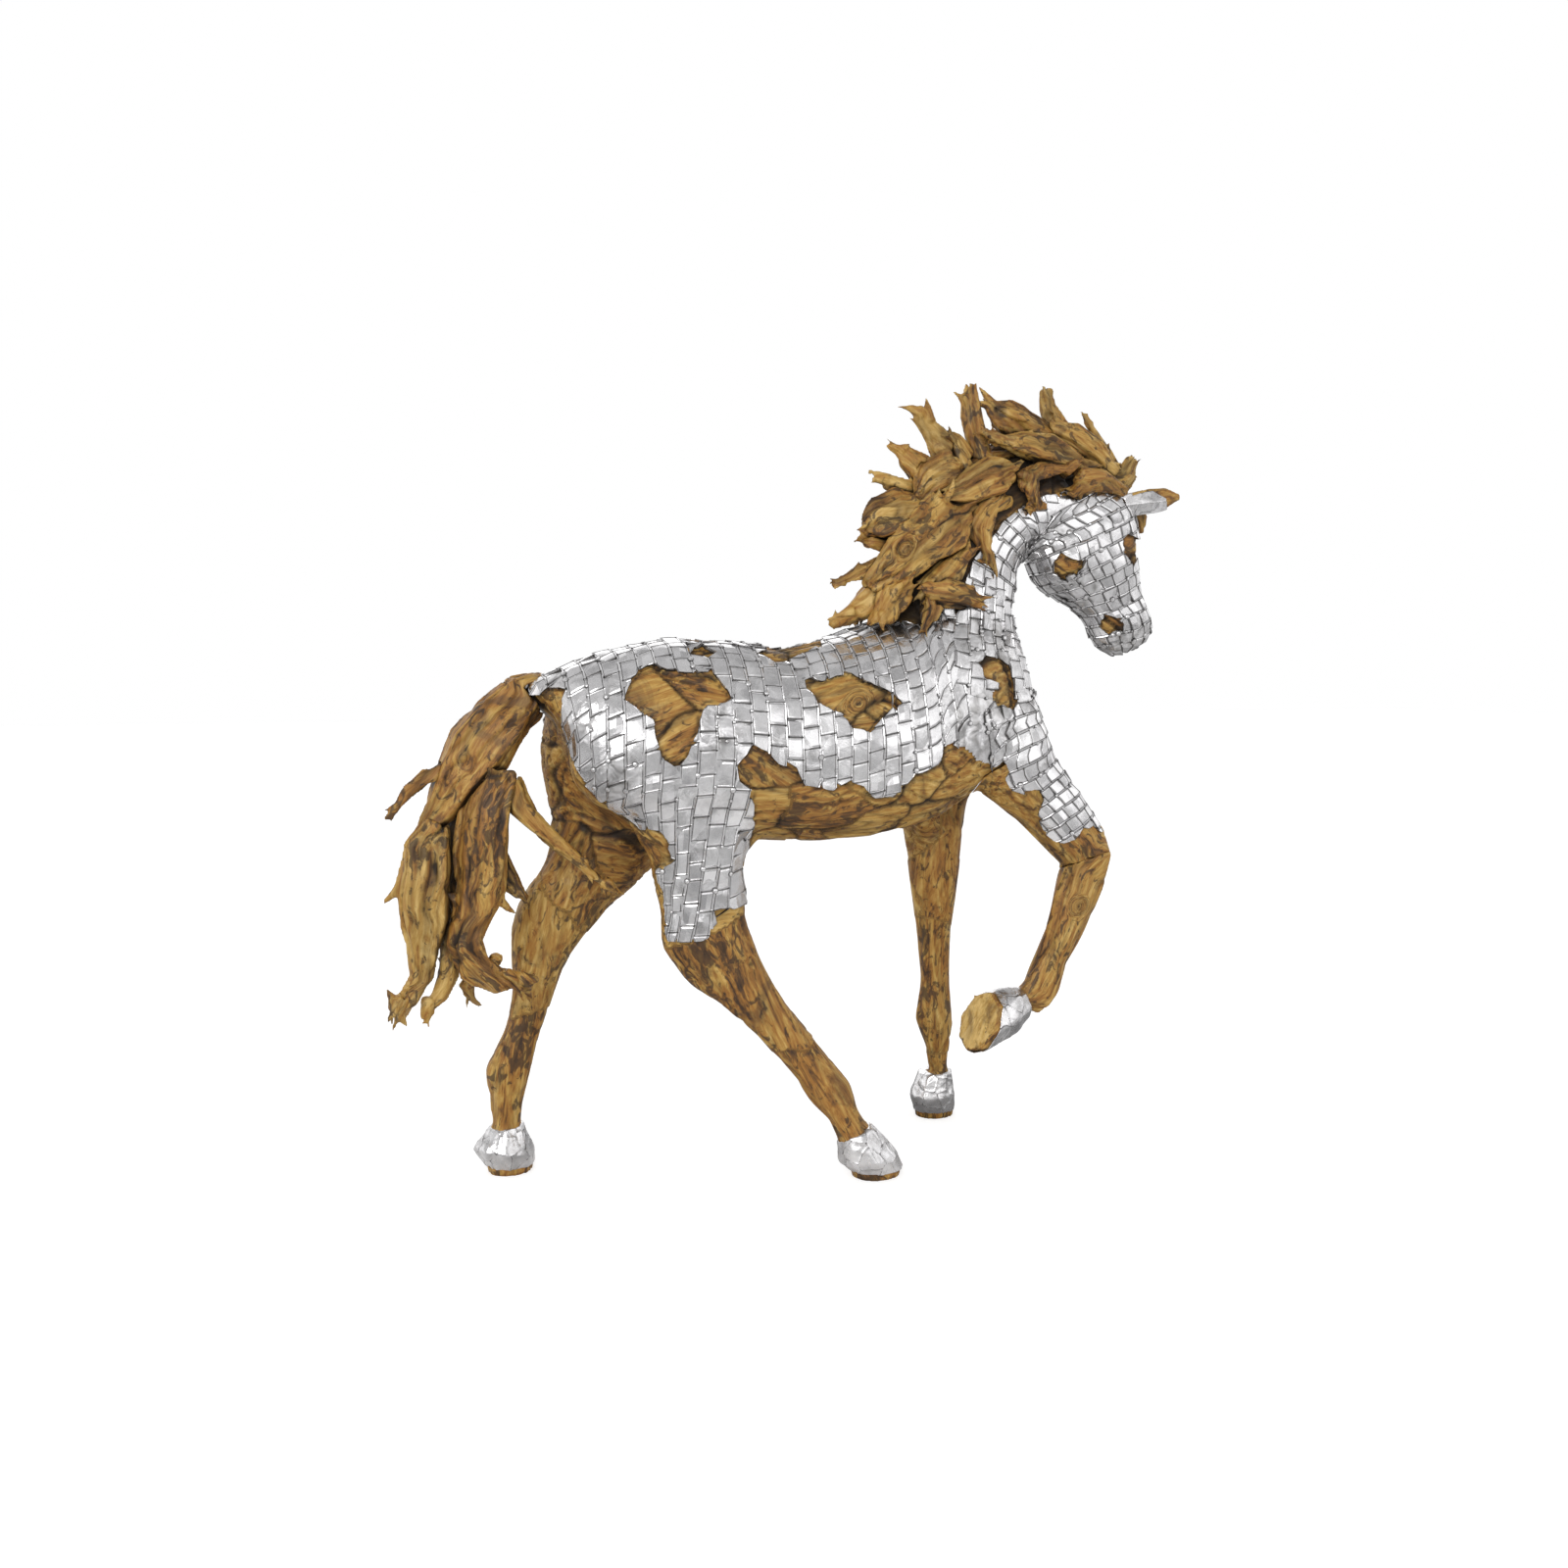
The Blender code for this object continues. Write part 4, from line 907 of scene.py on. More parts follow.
def metal_values(mesh, dirt, tone, worn, long_seam=None, cross_seam=None):
    """Keeps what the metal's finish reads. A mesh without tiles has its seams far away."""
    far = np.ones(len(mesh.vertices))
    set_values(mesh, "dirt", np.clip(dirt, 0, 1))
    set_values(mesh, "tone", tone)
    set_values(mesh, "worn", worn)
    set_values(mesh, "long_seam", far if long_seam is None else long_seam)
    set_values(mesh, "cross_seam", far if cross_seam is None else cross_seam)


def under_layer():
    """The first layer of sheet: the form's own surface wherever it is well covered."""
    bm = opened(skin_form)
    covered = bare_depth(points_of(skin_form)) < UNDER_EDGE
    away = [face for face in bm.faces if not all(covered[vert.index] for vert in face.verts)]
    bmesh.ops.delete(bm, geom=away, context="FACES")
    mesh = closed(bm, "under")
    points, normals = points_of(mesh), normals_of(mesh)
    dents = noise_at(points, (28, 28, 28), 8.0)
    move_points(mesh, points + normals * (UNDER_LIFT + UNDER_DENT * dents)[:, None])
    metal_values(mesh, 0 * dents, 0.4 + 0.3 * dents, np.maximum(wornness(points), 0.3))
    add_piece("metal_under_layer", mesh, METAL, "nailed_metal", "metal_skin")


skin_form = remeshed(copied(*FUSED, "right_forearm", "right_fore_cannon"), FORM_VOXEL, FORM_SWELL)
faired(skin_form, *FORM_FAIRING)
skin_tree = tree_of(opened(skin_form))
under_layer()

# A tile's lines, as shares of its side, with their height: a raised edge, a groove inside it and a flat face
TILE_LINES = (
    (0.0, 0.0010), (0.065, -0.0009), (0.13, 0.0), (0.5, 0.0), (0.87, 0.0), (0.935, -0.0009), (1.0, 0.0010),
)
SKIRT = 0.0060
FOLD_ANGLE = math.radians(12)
GRID = len(TILE_LINES)


def tile_pattern():
    """One flat tile from a grid, its lines in place, with an edge folded down all round."""
    bm = bmesh.new()
    bmesh.ops.create_grid(bm, x_segments=GRID - 1, y_segments=GRID - 1, size=0.5)
    for vert in bm.verts:
        column, row = (round((value + 0.5) * (GRID - 1)) for value in vert.co.xy)
        vert.co = Vector((TILE_LINES[column][0], TILE_LINES[row][0], 0))
    rim = [edge for edge in bm.edges if edge.is_boundary]
    folded = bmesh.ops.extrude_edge_only(bm, edges=rim)["geom"]
    for vert in folded:
        if isinstance(vert, bmesh.types.BMVert):
            vert.co.z = -SKIRT
    bmesh.ops.recalc_face_normals(bm, faces=bm.faces)
    if sum(face.normal.z for face in bm.faces) < 0:
        bmesh.ops.reverse_faces(bm, faces=bm.faces)
    return closed(bm, "tile")


TILE = tile_pattern()
TILE_PLAN = points_of(TILE)
LINE_AT, LINE_HEIGHT = zip(*TILE_LINES)
TILE_HEIGHT = np.minimum(*(np.interp(TILE_PLAN[:, k], LINE_AT, LINE_HEIGHT) for k in (0, 1)))
EDGE_ON = np.abs(TILE_PLAN[:, :2] - 0.5).max(axis=1) > 0.49
TILE_HEIGHT = np.where(EDGE_ON, LINE_HEIGHT[0], TILE_HEIGHT) + TILE_PLAN[:, 2]
INWARD = np.minimum(TILE_PLAN[:, :2], 1 - TILE_PLAN[:, :2])     # shares of a side in from the nearest edge


def snapped(points):
    """The nearest points of the form with the way its surface faces there."""
    places, facings = np.empty_like(points), np.empty_like(points)
    for index, row in enumerate(points.tolist()):
        near, facing, _, _ = skin_tree.find_nearest(row)
        places[index] = near
        facings[index] = facing
    return places, facings


def runs_of(points):
    """How far along a line of points each one lies."""
    return np.concatenate([[0], np.cumsum(np.linalg.norm(np.diff(points, axis=0), axis=1))])


class Tube:
    """A stretch of the form read as a tube: rings of surface points at even steps along drawn stations."""

    RAYS = 120
    FULLNESS = 0.75

    def __init__(self, stations, metres, step=0.0175):
        firsts = np.array([spot(station[0], station[1], 0) for station in stations])
        seconds = np.array([spot(station[2], station[3], 0) for station in stations])
        shape = np.array([station[4:] for station in stations]) * UNIT
        shift = np.array([[0.0, 1.0, 0.0]]) * shape[:, :1]
        firsts, seconds = firsts + shift, seconds + shift
        line = firsts if metres else (firsts + seconds) / 2
        stops = runs_of(line)
        self.length = float(stops[-1])
        self.count = max(3, int(self.length / step) + 1)
        angles = np.linspace(0, math.tau, self.RAYS, endpoint=False)
        up, out = np.cos(angles)[:, None], np.sin(angles)[:, None]
        out = np.sign(out) * np.abs(out) ** self.FULLNESS
        rings = []
        for run in np.linspace(0, self.length, self.count):
            first, second = (places_along(run, stops, edge) for edge in (firsts, seconds))
            half, bow = (np.interp(run, stops, shape[:, k]) for k in (1, 2))
            ring = (first + second) / 2 + up * (first - second) / 2 + out * np.array([[0.0, -half, 0.0]])
            rings.append(ring - ((1 - up) / 2) ** 3 * np.array([[bow, 0.0, 0.0]]))
        self.evened(snapped(np.concatenate(rings))[0].reshape(self.count, self.RAYS, 3), metres)

    def evened(self, rings, metres):
        """Sets the rings' points at even steps from the first edge down each side.

        The steps are equal shares of each side, or else the same number of metres on every ring.
        """
        middle = self.RAYS // 2
        sides = []
        for ring in rings:
            whole = np.vstack([ring, ring[:1]])
            sides += [whole[:middle + 1], whole[middle:][::-1]]
        runs = [runs_of(side) for side in sides]
        self.girths = np.array([run[-1] for run in runs]).reshape(-1, 2)
        if metres:
            self.girths[:] = self.girths.max()
        made = [places_along(np.linspace(0, girth, middle + 1), run, side)
                for side, run, girth in zip(sides, runs, self.girths.ravel())]
        self.rings = np.array([np.vstack([a, b[::-1][1:]]) for a, b in zip(made[0::2], made[1::2])])

    def girth(self, along, side):
        """Length of one side's half ring at a share of the tube's length."""
        return np.interp(along * (self.count - 1), np.arange(self.count), self.girths[:, side])

    def at(self, along, around):
        """Points at shares of the tube's length and its girth."""
        place = np.clip(along, 0, 1) * (self.count - 1)
        row = np.minimum(place.astype(int), self.count - 2)
        turn = np.clip(around, 0, 1) * self.RAYS
        column = np.minimum(turn.astype(int), self.RAYS - 1)
        u, v = (turn - column)[..., None], (place - row)[..., None]
        lower = self.rings[row, column] * (1 - u) + self.rings[row, column + 1] * u
        upper = self.rings[row + 1, column] * (1 - u) + self.rings[row + 1, column + 1] * u
        return lower * (1 - v) + upper * v


UNEVEN_CUT = 0.13        # share of a tile by which a cut strays


def brick_cuts(length, size, shifted, rng):
    """Where a row is cut into tiles, as shares of it. Every other row starts with half a tile."""
    count = max(2, round(length / size))
    cuts = np.arange(1, count + shifted) - 0.5 * shifted
    cuts = (cuts + rng.uniform(-UNEVEN_CUT, UNEVEN_CUT, len(cuts))) / count
    return np.concatenate([[0.0], cuts[(cuts > 0) & (cuts < 1)], [1.0]])


def courses(tube, long_size, cross_size, strips, rng):
    """Tiles as rows of (along from, along to, around from, around to).

    The long seams are rings round the tube, or else `strips` lines along each of its sides. Each size runs
    evenly from its first value to its last.
    """
    made = []
    for side in (0, 1):
        if strips:
            for strip in range(strips):
                cuts = brick_cuts(tube.length, np.mean(cross_size), strip % 2, rng)
                made += [(a, b, strip / strips, (strip + 1) / strips, side) for a, b in zip(cuts, cuts[1:])]
            continue
        count = max(2, round(tube.length / np.mean(long_size)))
        lines = np.cumsum(np.concatenate([[0], np.linspace(*long_size, count)]))
        lines /= lines[-1]
        for course, (low, high) in enumerate(zip(lines, lines[1:])):
            middle = (low + high) / 2
            size = cross_size[0] + (cross_size[1] - cross_size[0]) * middle
            cuts = brick_cuts(tube.girth(middle, side), size, course % 2, rng)
            made += [(low, high, a, b, side) for a, b in zip(cuts, cuts[1:])]
    made = np.array(made)
    left = made[:, 4] == 1
    made[left, 2:4] = 2 - made[left][:, [3, 2]]
    return made[:, :4] * np.array([1, 1, 0.5, 0.5])


# Which stretch of the horse a tile belongs to, as outlines over its right side
ZONES = {
    "head": [(1082, 430), (1082, 512), (1066, 530), (1048, 548), (1050, 562), (1052, 606), (1080, 720),
             (1260, 720), (1260, 430)],
    "forearm": [(984, 792), (986, 742), (1010, 724), (1062, 706), (1200, 800), (1200, 1000), (1000, 1000)],
    "neck": [(925, 430), (930, 552), (950, 562), (1036, 616), (1070, 606), (1095, 530), (1095, 430)],
    "chest": [(962, 632), (983, 712), (990, 800), (1120, 800), (1075, 606), (1036, 616), (950, 562),
              (890, 552), (880, 600), (925, 628)],
}


def zone_of(points):
    """The stretch that each point belongs to, by name."""
    places = seen_at(mirrored(points))
    made = np.full(len(points), "trunk", dtype=object)
    for name in reversed(ZONES):
        made[depth_in(places, ZONES[name]) > 0] = name
    made[(made == "forearm") & (points[:, 1] > MIDDLE)] = "chest"
    return made


def on_tiles(tube, fields, u, v):
    """Points of the form at shares of each tile's sides."""
    a0, a1, r0, r1 = (fields[:, k, None] for k in range(4))
    return tube.at(a0 + (a1 - a0) * v, r0 + (r1 - r0) * u).reshape(-1, 3)


EDGE_DEPTH = -0.2        # trimmed tiles end this far from a bare place, in picture units
MOSTLY_BARE = 0.80       # share of a tile over a bare place that leaves it out


def trimmed(tube, fields):
    """Draws the corners of tiles that reach over a bare place back to its edge.

    Gives the shares of each tile's sides where its points now lie, and which tiles are kept.
    """
    wide = (len(fields), len(TILE_PLAN))
    u, v = (np.broadcast_to(TILE_PLAN[:, k], wide).copy() for k in (0, 1))

    def is_over(rows, u, v):
        return (bare_depth(on_tiles(tube, rows, u, v)) > EDGE_DEPTH).reshape(u.shape)

    over = is_over(fields, u, v)
    kept = over.mean(axis=1) < MOSTLY_BARE
    rows = np.where(over.any(axis=1) & kept)[0]
    fu, fv, over = u[rows], v[rows], over[rows]
    weight = (~over).astype(float)
    mu, mv = ((value * weight).sum(axis=1)[:, None] / weight.sum(axis=1)[:, None] for value in (fu, fv))
    low, high = np.zeros_like(fu), np.ones_like(fu)
    for _ in range(6):
        share = (low + high) / 2
        bad = is_over(fields[rows], mu + (fu - mu) * share, mv + (fv - mv) * share)
        high, low = np.where(bad, share, high), np.where(bad, low, share)
    share = np.where(over, low, 1.0)
    u[rows], v[rows] = mu + (fu - mu) * share, mv + (fv - mv) * share
    return u, v, kept


TOO_LONG, TOO_SHORT = 2.1, 0.3     # tiles stretched or shrunk past this where the form folds are left out


def chosen_fields(tube, fields, zone, side, biggest):
    """The tiles that lie in a zone and keep about their size, with the lengths of their edges."""
    middle = tube.at(fields[:, :2].mean(axis=1), fields[:, 2:].mean(axis=1))
    corners = [tube.at(fields[:, k], fields[:, m]) for k, m in ((0, 2), (0, 3), (1, 3), (1, 2))]
    edges = np.array([np.linalg.norm(a - b, axis=1) for a, b in zip(corners, corners[1:] + corners[:1])])
    inside = (zone_of(middle) == zone) & (edges.max(axis=0) < TOO_LONG * biggest)
    for pair in ([0, 2], [1, 3]):
        inside &= edges[pair].max(axis=0) > TOO_SHORT * biggest
    if side:
        inside &= (middle[:, 1] - MIDDLE) * side > 0
    return fields[inside], edges[:, inside]


def nearest_of_plan(u, v):
    """Which of the pattern's points lies nearest to a place on the tile."""
    return int(np.linalg.norm(TILE_PLAN - np.array((u, v, 0)), axis=1).argmin())


CORNER, HALFWAY = nearest_of_plan(0.02, 0.02), nearest_of_plan(0.5, 0.0)
NAILED_CORNERS, NAILED_HALFWAY = 0.34, 0.12     # shares of the tiles with a nail at each place
NAIL_EDGE = -2.0         # nails stay this far inside the metal's edge, in picture units


def nail_spots(places, count, rng):
    """Where nails go: at some corners, halfway along some edges, and strewn where the metal is crumpled."""
    tiles = places.reshape(count, -1, 3)
    nails = np.vstack([tiles[:, CORNER][rng.random(count) < NAILED_CORNERS],
                       tiles[:, HALFWAY][rng.random(count) < NAILED_HALFWAY]])
    strewn = places[rng.permutation(len(places))[:count * 4]]
    nails = np.vstack([nails, strewn[wornness(strewn) > rng.uniform(0.25, 2.2, len(strewn))]])
    return nails[bare_depth(nails) < NAIL_EDGE]


WAVER = 0.0035           # how far hand-cut seams stray
TILE_TILT, CREASE = 0.0018, 0.0022          # how far a tile leans, and how much it is creased where it is worn and where it faces downwards
TILE_PUFF, PUFF_SPREAD = 0.0011, 0.0015     # how far a tile's middle bulges, and how much this varies
OLD_TILES, OLD_WORN = 0.07, 0.55     # share of tiles anywhere that are aged, and how much


def lay_tiles(zone, stations, long_size, cross_size, seed, strips=0, side=0, metres=False, lift=0.0):
    """Tiles one stretch of the horse. Gives their points, what the finish reads and the places for nails."""
    rng = np.random.default_rng(seed)
    tube = Tube(stations, metres)
    fields = courses(tube, long_size, cross_size, strips, rng)
    fields, edges = chosen_fields(tube, fields, zone, side, max(*long_size, *cross_size))
    u, v, kept = trimmed(tube, fields)
    fields, edges, u, v = fields[kept], edges[:, kept], u[kept], v[kept]
    flat = on_tiles(tube, fields, u, v)
    stray = np.stack([noise_at(flat, (11, 11, 11), place) for place in (4, 14, 24)], axis=1)
    count = len(fields)
    places, facings = snapped(flat + WAVER * stray)
    # Tiles that face downwards are darkened with the aged colour, as painted shade; crumpled places and old
    # tiles are real wear.
    worn = np.maximum(wornness(places), 0.8 * np.clip(-1.3 * facings[:, 2] - 0.35, 0, 1))
    worn = np.maximum(worn, np.repeat(np.where(rng.random(count) < OLD_TILES, OLD_WORN, 0.0), len(TILE_PLAN)))
    tilt = rng.normal(0, TILE_TILT, (count, 2))
    puff = rng.normal(TILE_PUFF, PUFF_SPREAD, (count, 1))
    centred = np.stack([u - 0.5, v - 0.5], axis=2)
    top = TILE_PLAN[:, 2] == 0
    lean = (centred * tilt[:, None, :]).sum(axis=2) * 2
    hump = puff * (1 - 4 * (centred ** 2).sum(axis=2)).clip(0)
    crease = noise_at(places, (45, 45, 45), 6.0).reshape(count, -1) * CREASE * worn.reshape(count, -1)
    height = METAL_LIFT + lift + TILE_HEIGHT + np.where(top, lean + hump + crease, 0)
    around_seam = INWARD[:, 0] * edges[[0, 2]].mean(axis=0)[:, None]
    along_seam = INWARD[:, 1] * edges[[1, 3]].mean(axis=0)[:, None]
    long_seam, cross_seam = (around_seam, along_seam) if strips else (along_seam, around_seam)
    values = {
        # The skirts folded down into the gaps between tiles are painted dark, as painted shade.
        "dirt": np.tile((TILE_PLAN[:, 2] < 0).astype(float), count),
        "tone": np.repeat(rng.uniform(0, 1, count), len(TILE_PLAN)),
        "worn": worn,
        "long_seam": long_seam.ravel(),
        "cross_seam": cross_seam.ravel(),
    }
    return places + facings * height.reshape(-1, 1), values, nail_spots(places, count, rng)


def stamped(pattern, points, name):
    """A mesh of many copies of a pattern, with each copy's points given."""
    bm = bmesh.new()
    for _ in range(len(points) // len(pattern.vertices)):
        bm.from_mesh(pattern)
    mesh = closed(bm, name)
    move_points(mesh, points)
    return mesh


def without_slivers(mesh):
    """Drops the faces that trimming has drawn to nothing."""
    bm = opened(mesh)
    bmesh.ops.dissolve_degenerate(bm, dist=0.00015, edges=bm.edges)
    bm.to_mesh(mesh)
    bm.free()


NAIL_RADIUS, NAIL_CROWN, NAIL_HEIGHT = 0.0086, 0.0046, 0.0034
NAIL_LIFT = 0.0060       # middle of a nail head above the form
SMALL_NAILS, SMALL_SIZE = 0.60, 0.62     # share of the nails that are small, and their size


def nail_pattern():
    """A round nail head, domed by a narrower crown."""
    bm = bmesh.new()
    bmesh.ops.create_cone(bm, cap_ends=True, segments=7, radius1=NAIL_RADIUS, radius2=NAIL_CROWN,
                          depth=NAIL_HEIGHT)
    bottom = [face for face in bm.faces if face.normal.z < -0.9]
    bmesh.ops.delete(bm, geom=bottom, context="FACES")
    return closed(bm, "nail")


NAIL = nail_pattern()
NAIL_PLAN = points_of(NAIL)


def nail_points(places, facings, rng):
    """The pattern set at each place, standing on the surface, in two sizes."""
    helper = np.where(np.abs(facings[:, :1]) < 0.8, np.array([[1.0, 0, 0]]), np.array([[0, 0, 1.0]]))
    first = unit_rows(np.cross(facings, helper))
    second = np.cross(facings, first)
    size = np.where(rng.random(len(places)) < SMALL_NAILS, SMALL_SIZE, 1.00)
    size = (size * rng.uniform(0.85, 1.1, len(places)))[:, None, None]
    x, y, z = (NAIL_PLAN[None, :, k, None] * size for k in range(3))
    made = places[:, None] + x * first[:, None] + y * second[:, None] + (z + NAIL_LIFT) * facings[:, None]
    return made.reshape(-1, 3)


# Stations along each stretch: first edge, second edge, side, half width, how far its lower end swings back
TRUNK_FRONT = [
    (800, 657, 800, 858, 0, 98, 0), (838, 653, 838, 857, 0, 98, 0), (880, 638, 886, 850, 0, 93, 0),
    (915, 628, 928, 838, 0, 85, 0), (950, 615, 968, 812, 0, 75, 0), (985, 622, 1008, 795, 0, 66, 0),
]
TRUNK_RIGHT = [
    (536, 698, 546, 722, 0, 14, 0), (546, 692, 558, 770, 0, 40, 0), (560, 686, 566, 830, 0, 66, 5),
    (580, 678, 582, 870, 0, 82, 15), (606, 669, 606, 900, 0, 92, 25), (642, 660, 640, 960, 0, 97, 36),
    (690, 653, 688, 1015, 0, 97, 44), (725, 654, 724, 1025, 0, 97, 44), (745, 656, 745, 1000, 0, 97, 28),
    (765, 658, 765, 866, 0, 97, 0), *TRUNK_FRONT,
]
TRUNK_LEFT = [
    (536, 698, 546, 722, 0, 14, 0), (546, 692, 558, 770, 0, 40, 0), (560, 686, 562, 860, 0, 66, 5),
    (580, 678, 580, 915, 0, 82, 15), (606, 669, 606, 940, 0, 92, 20), (642, 660, 640, 940, 0, 97, 20),
    (690, 653, 688, 900, 0, 97, 10), (725, 654, 724, 870, 0, 97, 0), (765, 658, 765, 862, 0, 97, 0),
    *TRUNK_FRONT,
]
CHEST = [
    (1070, 812, 950, 830, 0, 66, 0), (1068, 775, 935, 790, 0, 68, 0), (1063, 745, 920, 745, 0, 68, 0),
    (1056, 705, 905, 695, 0, 62, 0), (1046, 660, 898, 650, 0, 56, 0), (1040, 625, 903, 600, 0, 48, 0),
    (1034, 600, 915, 565, 0, 43, 0), (1030, 585, 925, 545, 0, 40, 0),
]
NECK = [
    (1040, 640, 915, 590, 0, 48, 0), (1036, 620, 925, 565, 0, 45, 0), (1032, 600, 935, 535, 0, 40, 0),
    (1036, 578, 950, 512, 0, 37, 0), (1042, 566, 972, 492, 0, 34, 0), (1049, 558, 1000, 475, 0, 32, 0),
    (1058, 550, 1030, 466, 0, 31, 0), (1068, 546, 1056, 464, 0, 31, 0),
]
HEAD = [
    (1040, 500, 1080, 462, 0, 27, 0), (1042, 516, 1106, 476, 0, 28, 0), (1044, 538, 1130, 494, 0, 32, 0),
    (1045, 560, 1150, 510, 1, 36, 0), (1050, 584, 1160, 532, 2, 37, 0), (1066, 604, 1162, 556, 4, 33, 0),
    (1088, 619, 1164, 582, 5, 27, 0), (1102, 634, 1168, 604, 7, 22, 0), (1109, 650, 1174, 624, 8, 21, 0),
    (1118, 663, 1176, 640, 9, 20, 0), (1131, 671, 1170, 656, 10, 14, 0), (1142, 670, 1160, 662, 10, 7, 0),
]
FOREARM = [
    (960, 712, 1050, 686, -34, 34, 0), (975, 745, 1058, 715, -34, 34, 0), (992, 792, 1066, 755, -35, 35, 0),
    (1012, 818, 1077, 778, -36, 32, 0), (1034, 834, 1090, 798, -37, 28, 0),
    (1058, 856, 1107, 820, -38, 25, 0), (1075, 874, 1122, 844, -38, 23, 0),
    (1083, 884, 1133, 866, -39, 22, 0),
]
TRUNK_TILE = dict(zone="trunk", long_size=(0.048, 0.041), cross_size=(0.059, 0.050), metres=True)
STRETCHES = {
    "metal_tiles_of_trunk": [
        dict(TRUNK_TILE, stations=TRUNK_RIGHT, side=-1, seed=3),
        dict(TRUNK_TILE, stations=TRUNK_LEFT, side=1, seed=4),
    ],
    "metal_tiles_of_neck_and_head": [
        dict(zone="chest", stations=CHEST, long_size=(0.040, 0.040), cross_size=(0.047, 0.047), strips=14,
             lift=0.0003, seed=5),
        dict(zone="neck", stations=NECK, long_size=(0.050, 0.046), cross_size=(0.037, 0.037), lift=0.0005,
             seed=6),
        dict(zone="head", stations=HEAD, long_size=(0.040, 0.036), cross_size=(0.040, 0.038), lift=0.0007,
             seed=7),
    ],
    "metal_tiles_of_raised_foreleg": [
        dict(zone="forearm", stations=FOREARM, long_size=(0.042, 0.040), cross_size=(0.041, 0.038), side=-1,
             lift=0.0017, seed=17),
    ],
}
all_nails = []
for piece_name, stretches in STRETCHES.items():
    laid = [lay_tiles(**stretch) for stretch in stretches]
    tiles = stamped(TILE, np.vstack([points for points, values, nails in laid]), piece_name)
    metal_values(tiles, **{name: np.concatenate([values[name] for points, values, nails in laid])
                           for name in laid[0][1]})
    without_slivers(tiles)
    add_piece(piece_name, tiles, METAL, "nailed_metal")
    tiles.set_sharp_from_angle(angle=FOLD_ANGLE)
    all_nails += [nails for points, values, nails in laid]

nail_places, nail_facings = snapped(np.vstack(all_nails))
nails = stamped(NAIL, nail_points(nail_places, nail_facings, rng), "nail_heads")
nail_worn = np.repeat(wornness(nail_places), len(NAIL_PLAN)) * 0.5
# The rim of each nail head is painted dark, as a painted shadow ring.
nail_rim_shade = np.tile((NAIL_PLAN[:, 2] < 0).astype(float), len(nail_places))
metal_values(nails, nail_rim_shade, np.full(len(nail_worn), 0.7), nail_worn)
add_piece("nail_heads", nails, METAL, "nailed_metal")


# Metal of the hooves and of the right ear
# Scraps of the same sheet, beaten round each hoof above its wooden sole band and round the root of one ear,
# and nailed. Their seams run as the scraps fell, and their faces are crumpled.

HOOVES = ("right_hind", "left_hind", "left_fore", "right_fore")
HOOF_SHEET = dict(spacing=0.037, dent=0.0020, rounds=26)
EAR_SHEET = dict(spacing=0.060, dent=0.0025, rounds=3)
LONG_EDGE = 0.005
BEATEN_LIFT, WELT_HEIGHT, WELT_REACH = 0.0012, 0.0012, 0.0030


def beaten_metal(name, spacing, dent, rounds):
    """A shell of sheet in irregular panels, in place of one CAD node."""
    bm = copied(name)
    for _ in range(5):
        long_edges = [edge for edge in bm.edges if edge.calc_length() > LONG_EDGE]
        bmesh.ops.subdivide_edges(bm, edges=long_edges, cuts=1, use_grid_fill=False)
        bmesh.ops.triangulate(bm, faces=bm.faces)
    mesh = closed(bm, name)
    faired(mesh, rounds, 2 * rounds)
    points = points_of(mesh)
    crooked = np.stack([noise_at(points, (22, 22, 22), seed) for seed in (5, 11, 19)], axis=1) * 0.4 * spacing
    gap, tone = panel_seams(points + crooked, spacing, rng)
    outward = unit_rows(points - points.mean(axis=0))
    welt = np.exp(-(gap / WELT_REACH) ** 2)
    crease = noise_at(points, (30, 30, 30), 4.0) * dent + noise_at(points, (75, 75, 75), 9.0) * dent * 0.4
    move_points(mesh, points + outward * (BEATEN_LIFT + crease + WELT_HEIGHT * welt)[:, None])
    metal_values(mesh, 0 * gap, tone, np.full(len(points), 0.45), gap + LONG_SEAM)
    add_piece(name.replace("metal", "beaten_metal"), mesh, METAL, "nailed_metal", name)


for hoof in HOOVES:
    beaten_metal(hoof + "_hoof_metal", **HOOF_SHEET)
beaten_metal("right_ear_metal", **EAR_SHEET)


# Mane, forelock, ears and tail
# Each is one split, weathered root of teak, nailed and glued to the crest, the head or the dock. The fibres
# run along it, its faces are grooved and its ends are ragged. Those behind the crest are painted darker, as
# painted shade.

# A copy of the teak with painted shade over all, for the roots of the mane behind the crest.
SHADED_TEAK = root_finish("dark_teak_root", 0.12)
LOCKS = ("mane_", "left_mane_", "tail_")
EARS = ("right_ear", "left_ear")
BLUNT = (*EARS, "forelock", "mane_upper_rear", "left_mane_rear", "tail_stock")     # their ends aren't split
MANE_RELIEF, TAIL_RELIEF, EAR_RELIEF = 0.0044, 0.0048, 0.0028
ROOTS = sorted(name for name in frame["nodes"] if name.startswith(LOCKS) or name in (*EARS, "forelock"))
for number, name in enumerate(ROOTS):
    wood, slot = (SHADED_TEAK, "dark_teak_root") if name.startswith("left_mane_") else (TEAK, "teak_root")
    relief = TAIL_RELIEF if name.startswith("tail_") else EAR_RELIEF if name in EARS else MANE_RELIEF
    root_piece(name, wood, slot, relief, 50.0 + 3.7 * number, split=name not in BLUNT)


# Studio
# A pale floor of matt paint, a bright surround and three soft lights: a strong one above the horse's right
# side, towards the tail, a weak one before its right side, towards the head, and a weak one behind it.

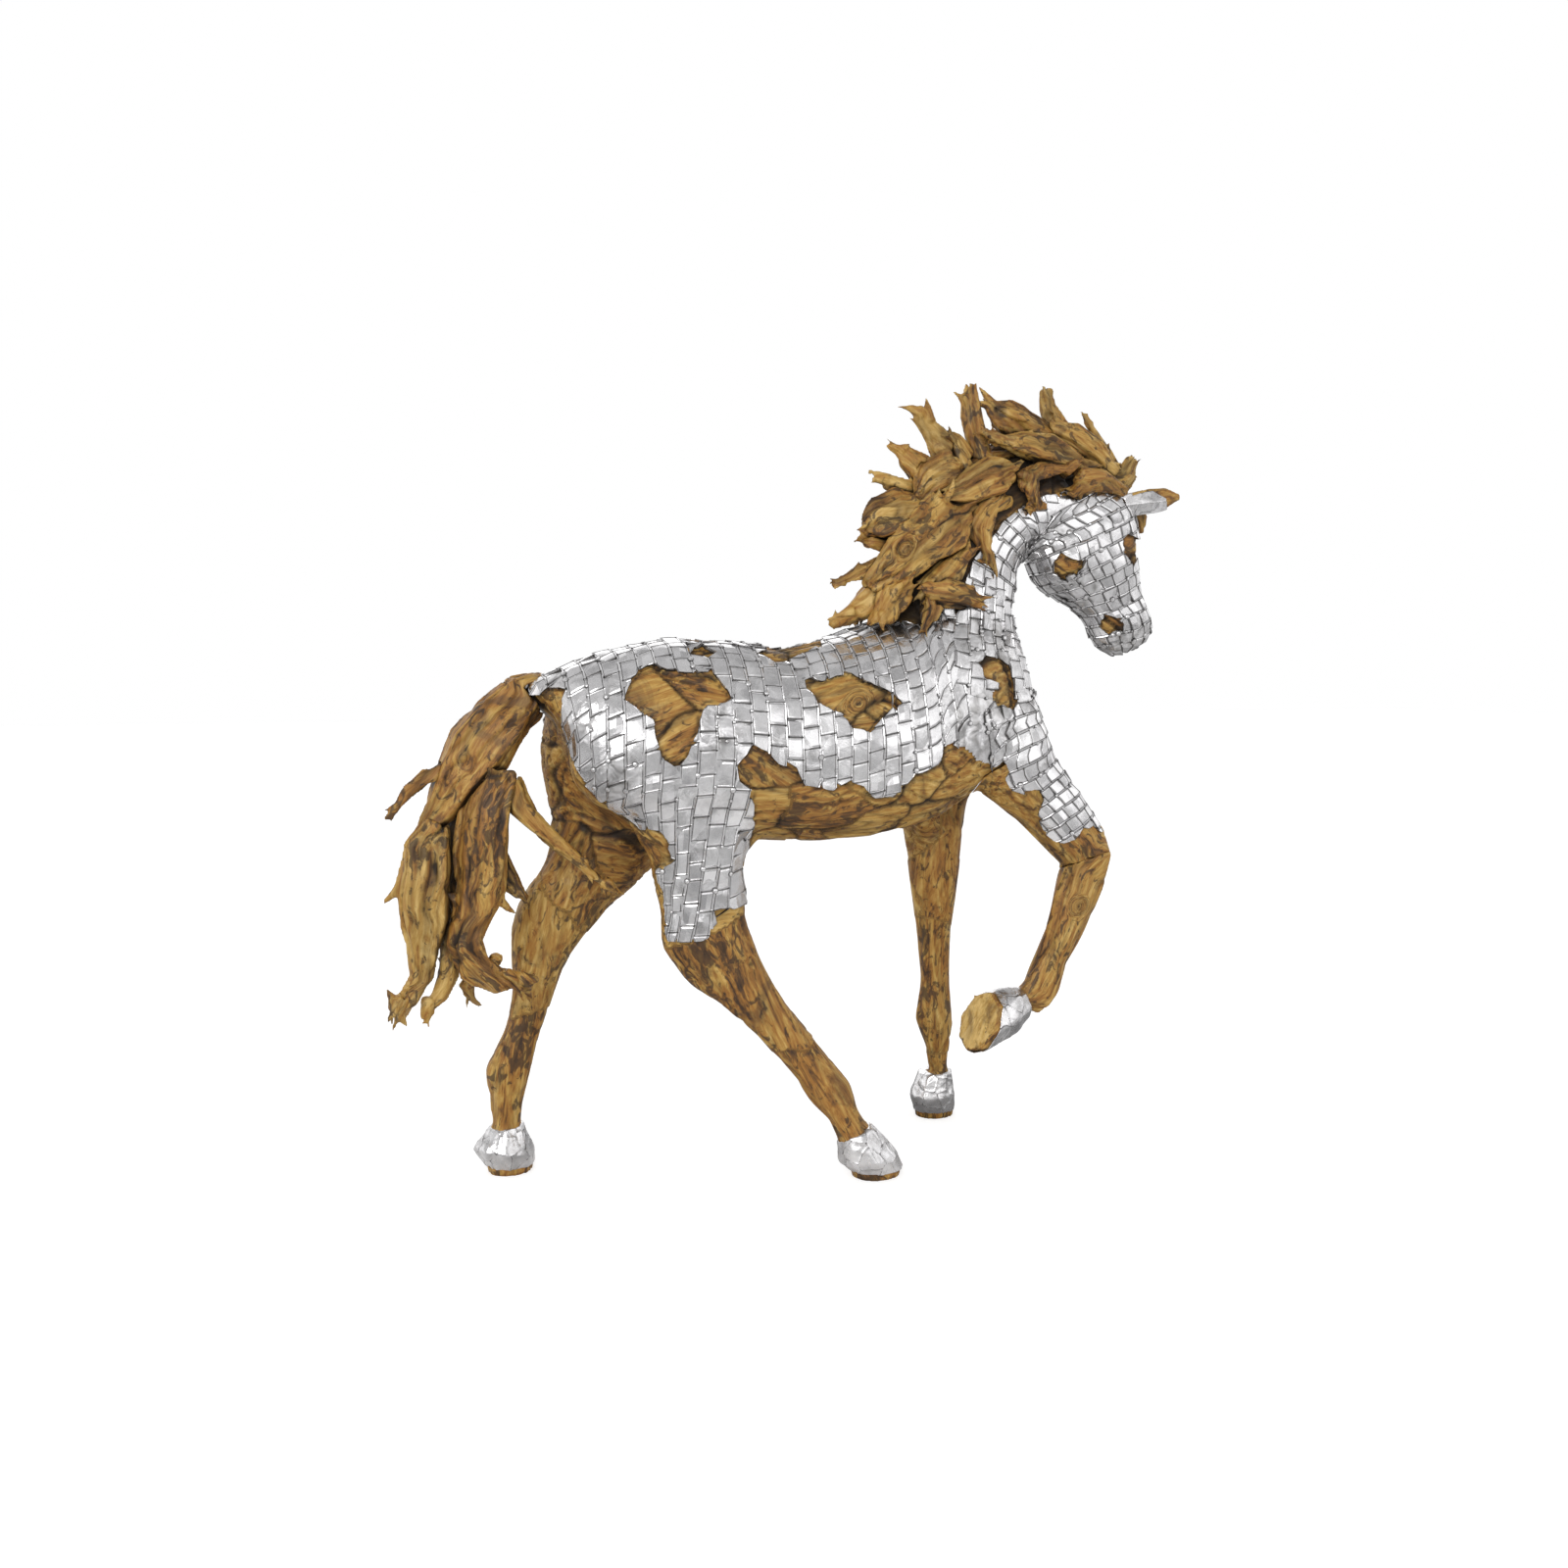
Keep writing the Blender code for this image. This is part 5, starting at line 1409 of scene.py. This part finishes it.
FLOOR_SIZE = 60.0
floor_bm = bmesh.new()
bmesh.ops.create_grid(floor_bm, x_segments=1, y_segments=1, size=FLOOR_SIZE / 2)
floor_mesh = closed(floor_bm, "floor")
floor = bpy.data.objects.new("floor", floor_mesh)
scene.collection.objects.link(floor)
paint = Finish("floor_paint")
paint.set(Base_Color=(0.48, 0.48, 0.48), Roughness=0.9)
paint.set(Emission_Color=(1.0, 1.0, 1.0), Emission_Strength=0.68)
patches = paint.noise(paint.node("TexCoord", {}, {}, out=3), 0.55, 2.0, 0.5, 0.3)
uneven = paint.mixed(patches.step(0.38, 0.62), (0.30, 0.30, 0.30), (0.96, 0.96, 0.96))
shade = paint.node("BsdfPrincipled", {}, {"Base Color": uneven, "Roughness": 1.0})     # as the horse sees it
seen = paint.node("LightPath")
both = paint.node("MixShader", {}, {0: seen, 1: shade, 2: Field(paint, paint.shader.outputs[0])})
paint.fill(paint.tree.nodes["Material Output"].inputs["Surface"], both)
floor_mesh.materials.append(paint.material)


class Surround(Finish):
    """The studio round the horse: white to the camera, and panels of uneven brightness to the horse."""

    def __init__(self, name):
        self.world = bpy.data.worlds.new(name)
        self.world.use_nodes = True
        self.tree = self.world.node_tree
        self.shader = self.tree.nodes["Background"]


surround = Surround("surround")
way = surround.node("TexCoord", {}, {}, out=0)
height = surround.node("SeparateXYZ", {}, {0: way}, out=2)
panels = surround.noise(way, 3.9, 2.0, 0.5, 0.4)
light = (panels.step(0.38, 0.62) * 1.00 + 0.56) * (1.0 - height.step(0.20, 0.90) * 0.45)
seen = surround.node("LightPath")
surround.set(Color=(1.0, 1.0, 1.0), Strength=light * (1.0 - seen) + seen)
scene.world = surround.world
scene.view_settings.view_transform = "Standard"


LIT_POINT = (0, 0, 1.1)


def soft_light(name, place, size, power):
    """A round light turned to the horse's middle."""
    light = bpy.data.lights.new(name, "AREA")
    light.shape = "DISK"
    light.size = size
    light.energy = power
    made = bpy.data.objects.new(name, light)
    made.location = place
    made.rotation_euler = (Vector(LIT_POINT) - Vector(place)).to_track_quat("-Z", "Y").to_euler()
    scene.collection.objects.link(made)


soft_light("key_light", (-2.8, -4.6, 3.2), size=3.6, power=120)
soft_light("fill_light", (4.6, -4.6, 1.8), size=3.6, power=14)
soft_light("back_light", (0.6, 4.8, 3.4), size=3.4, power=22)
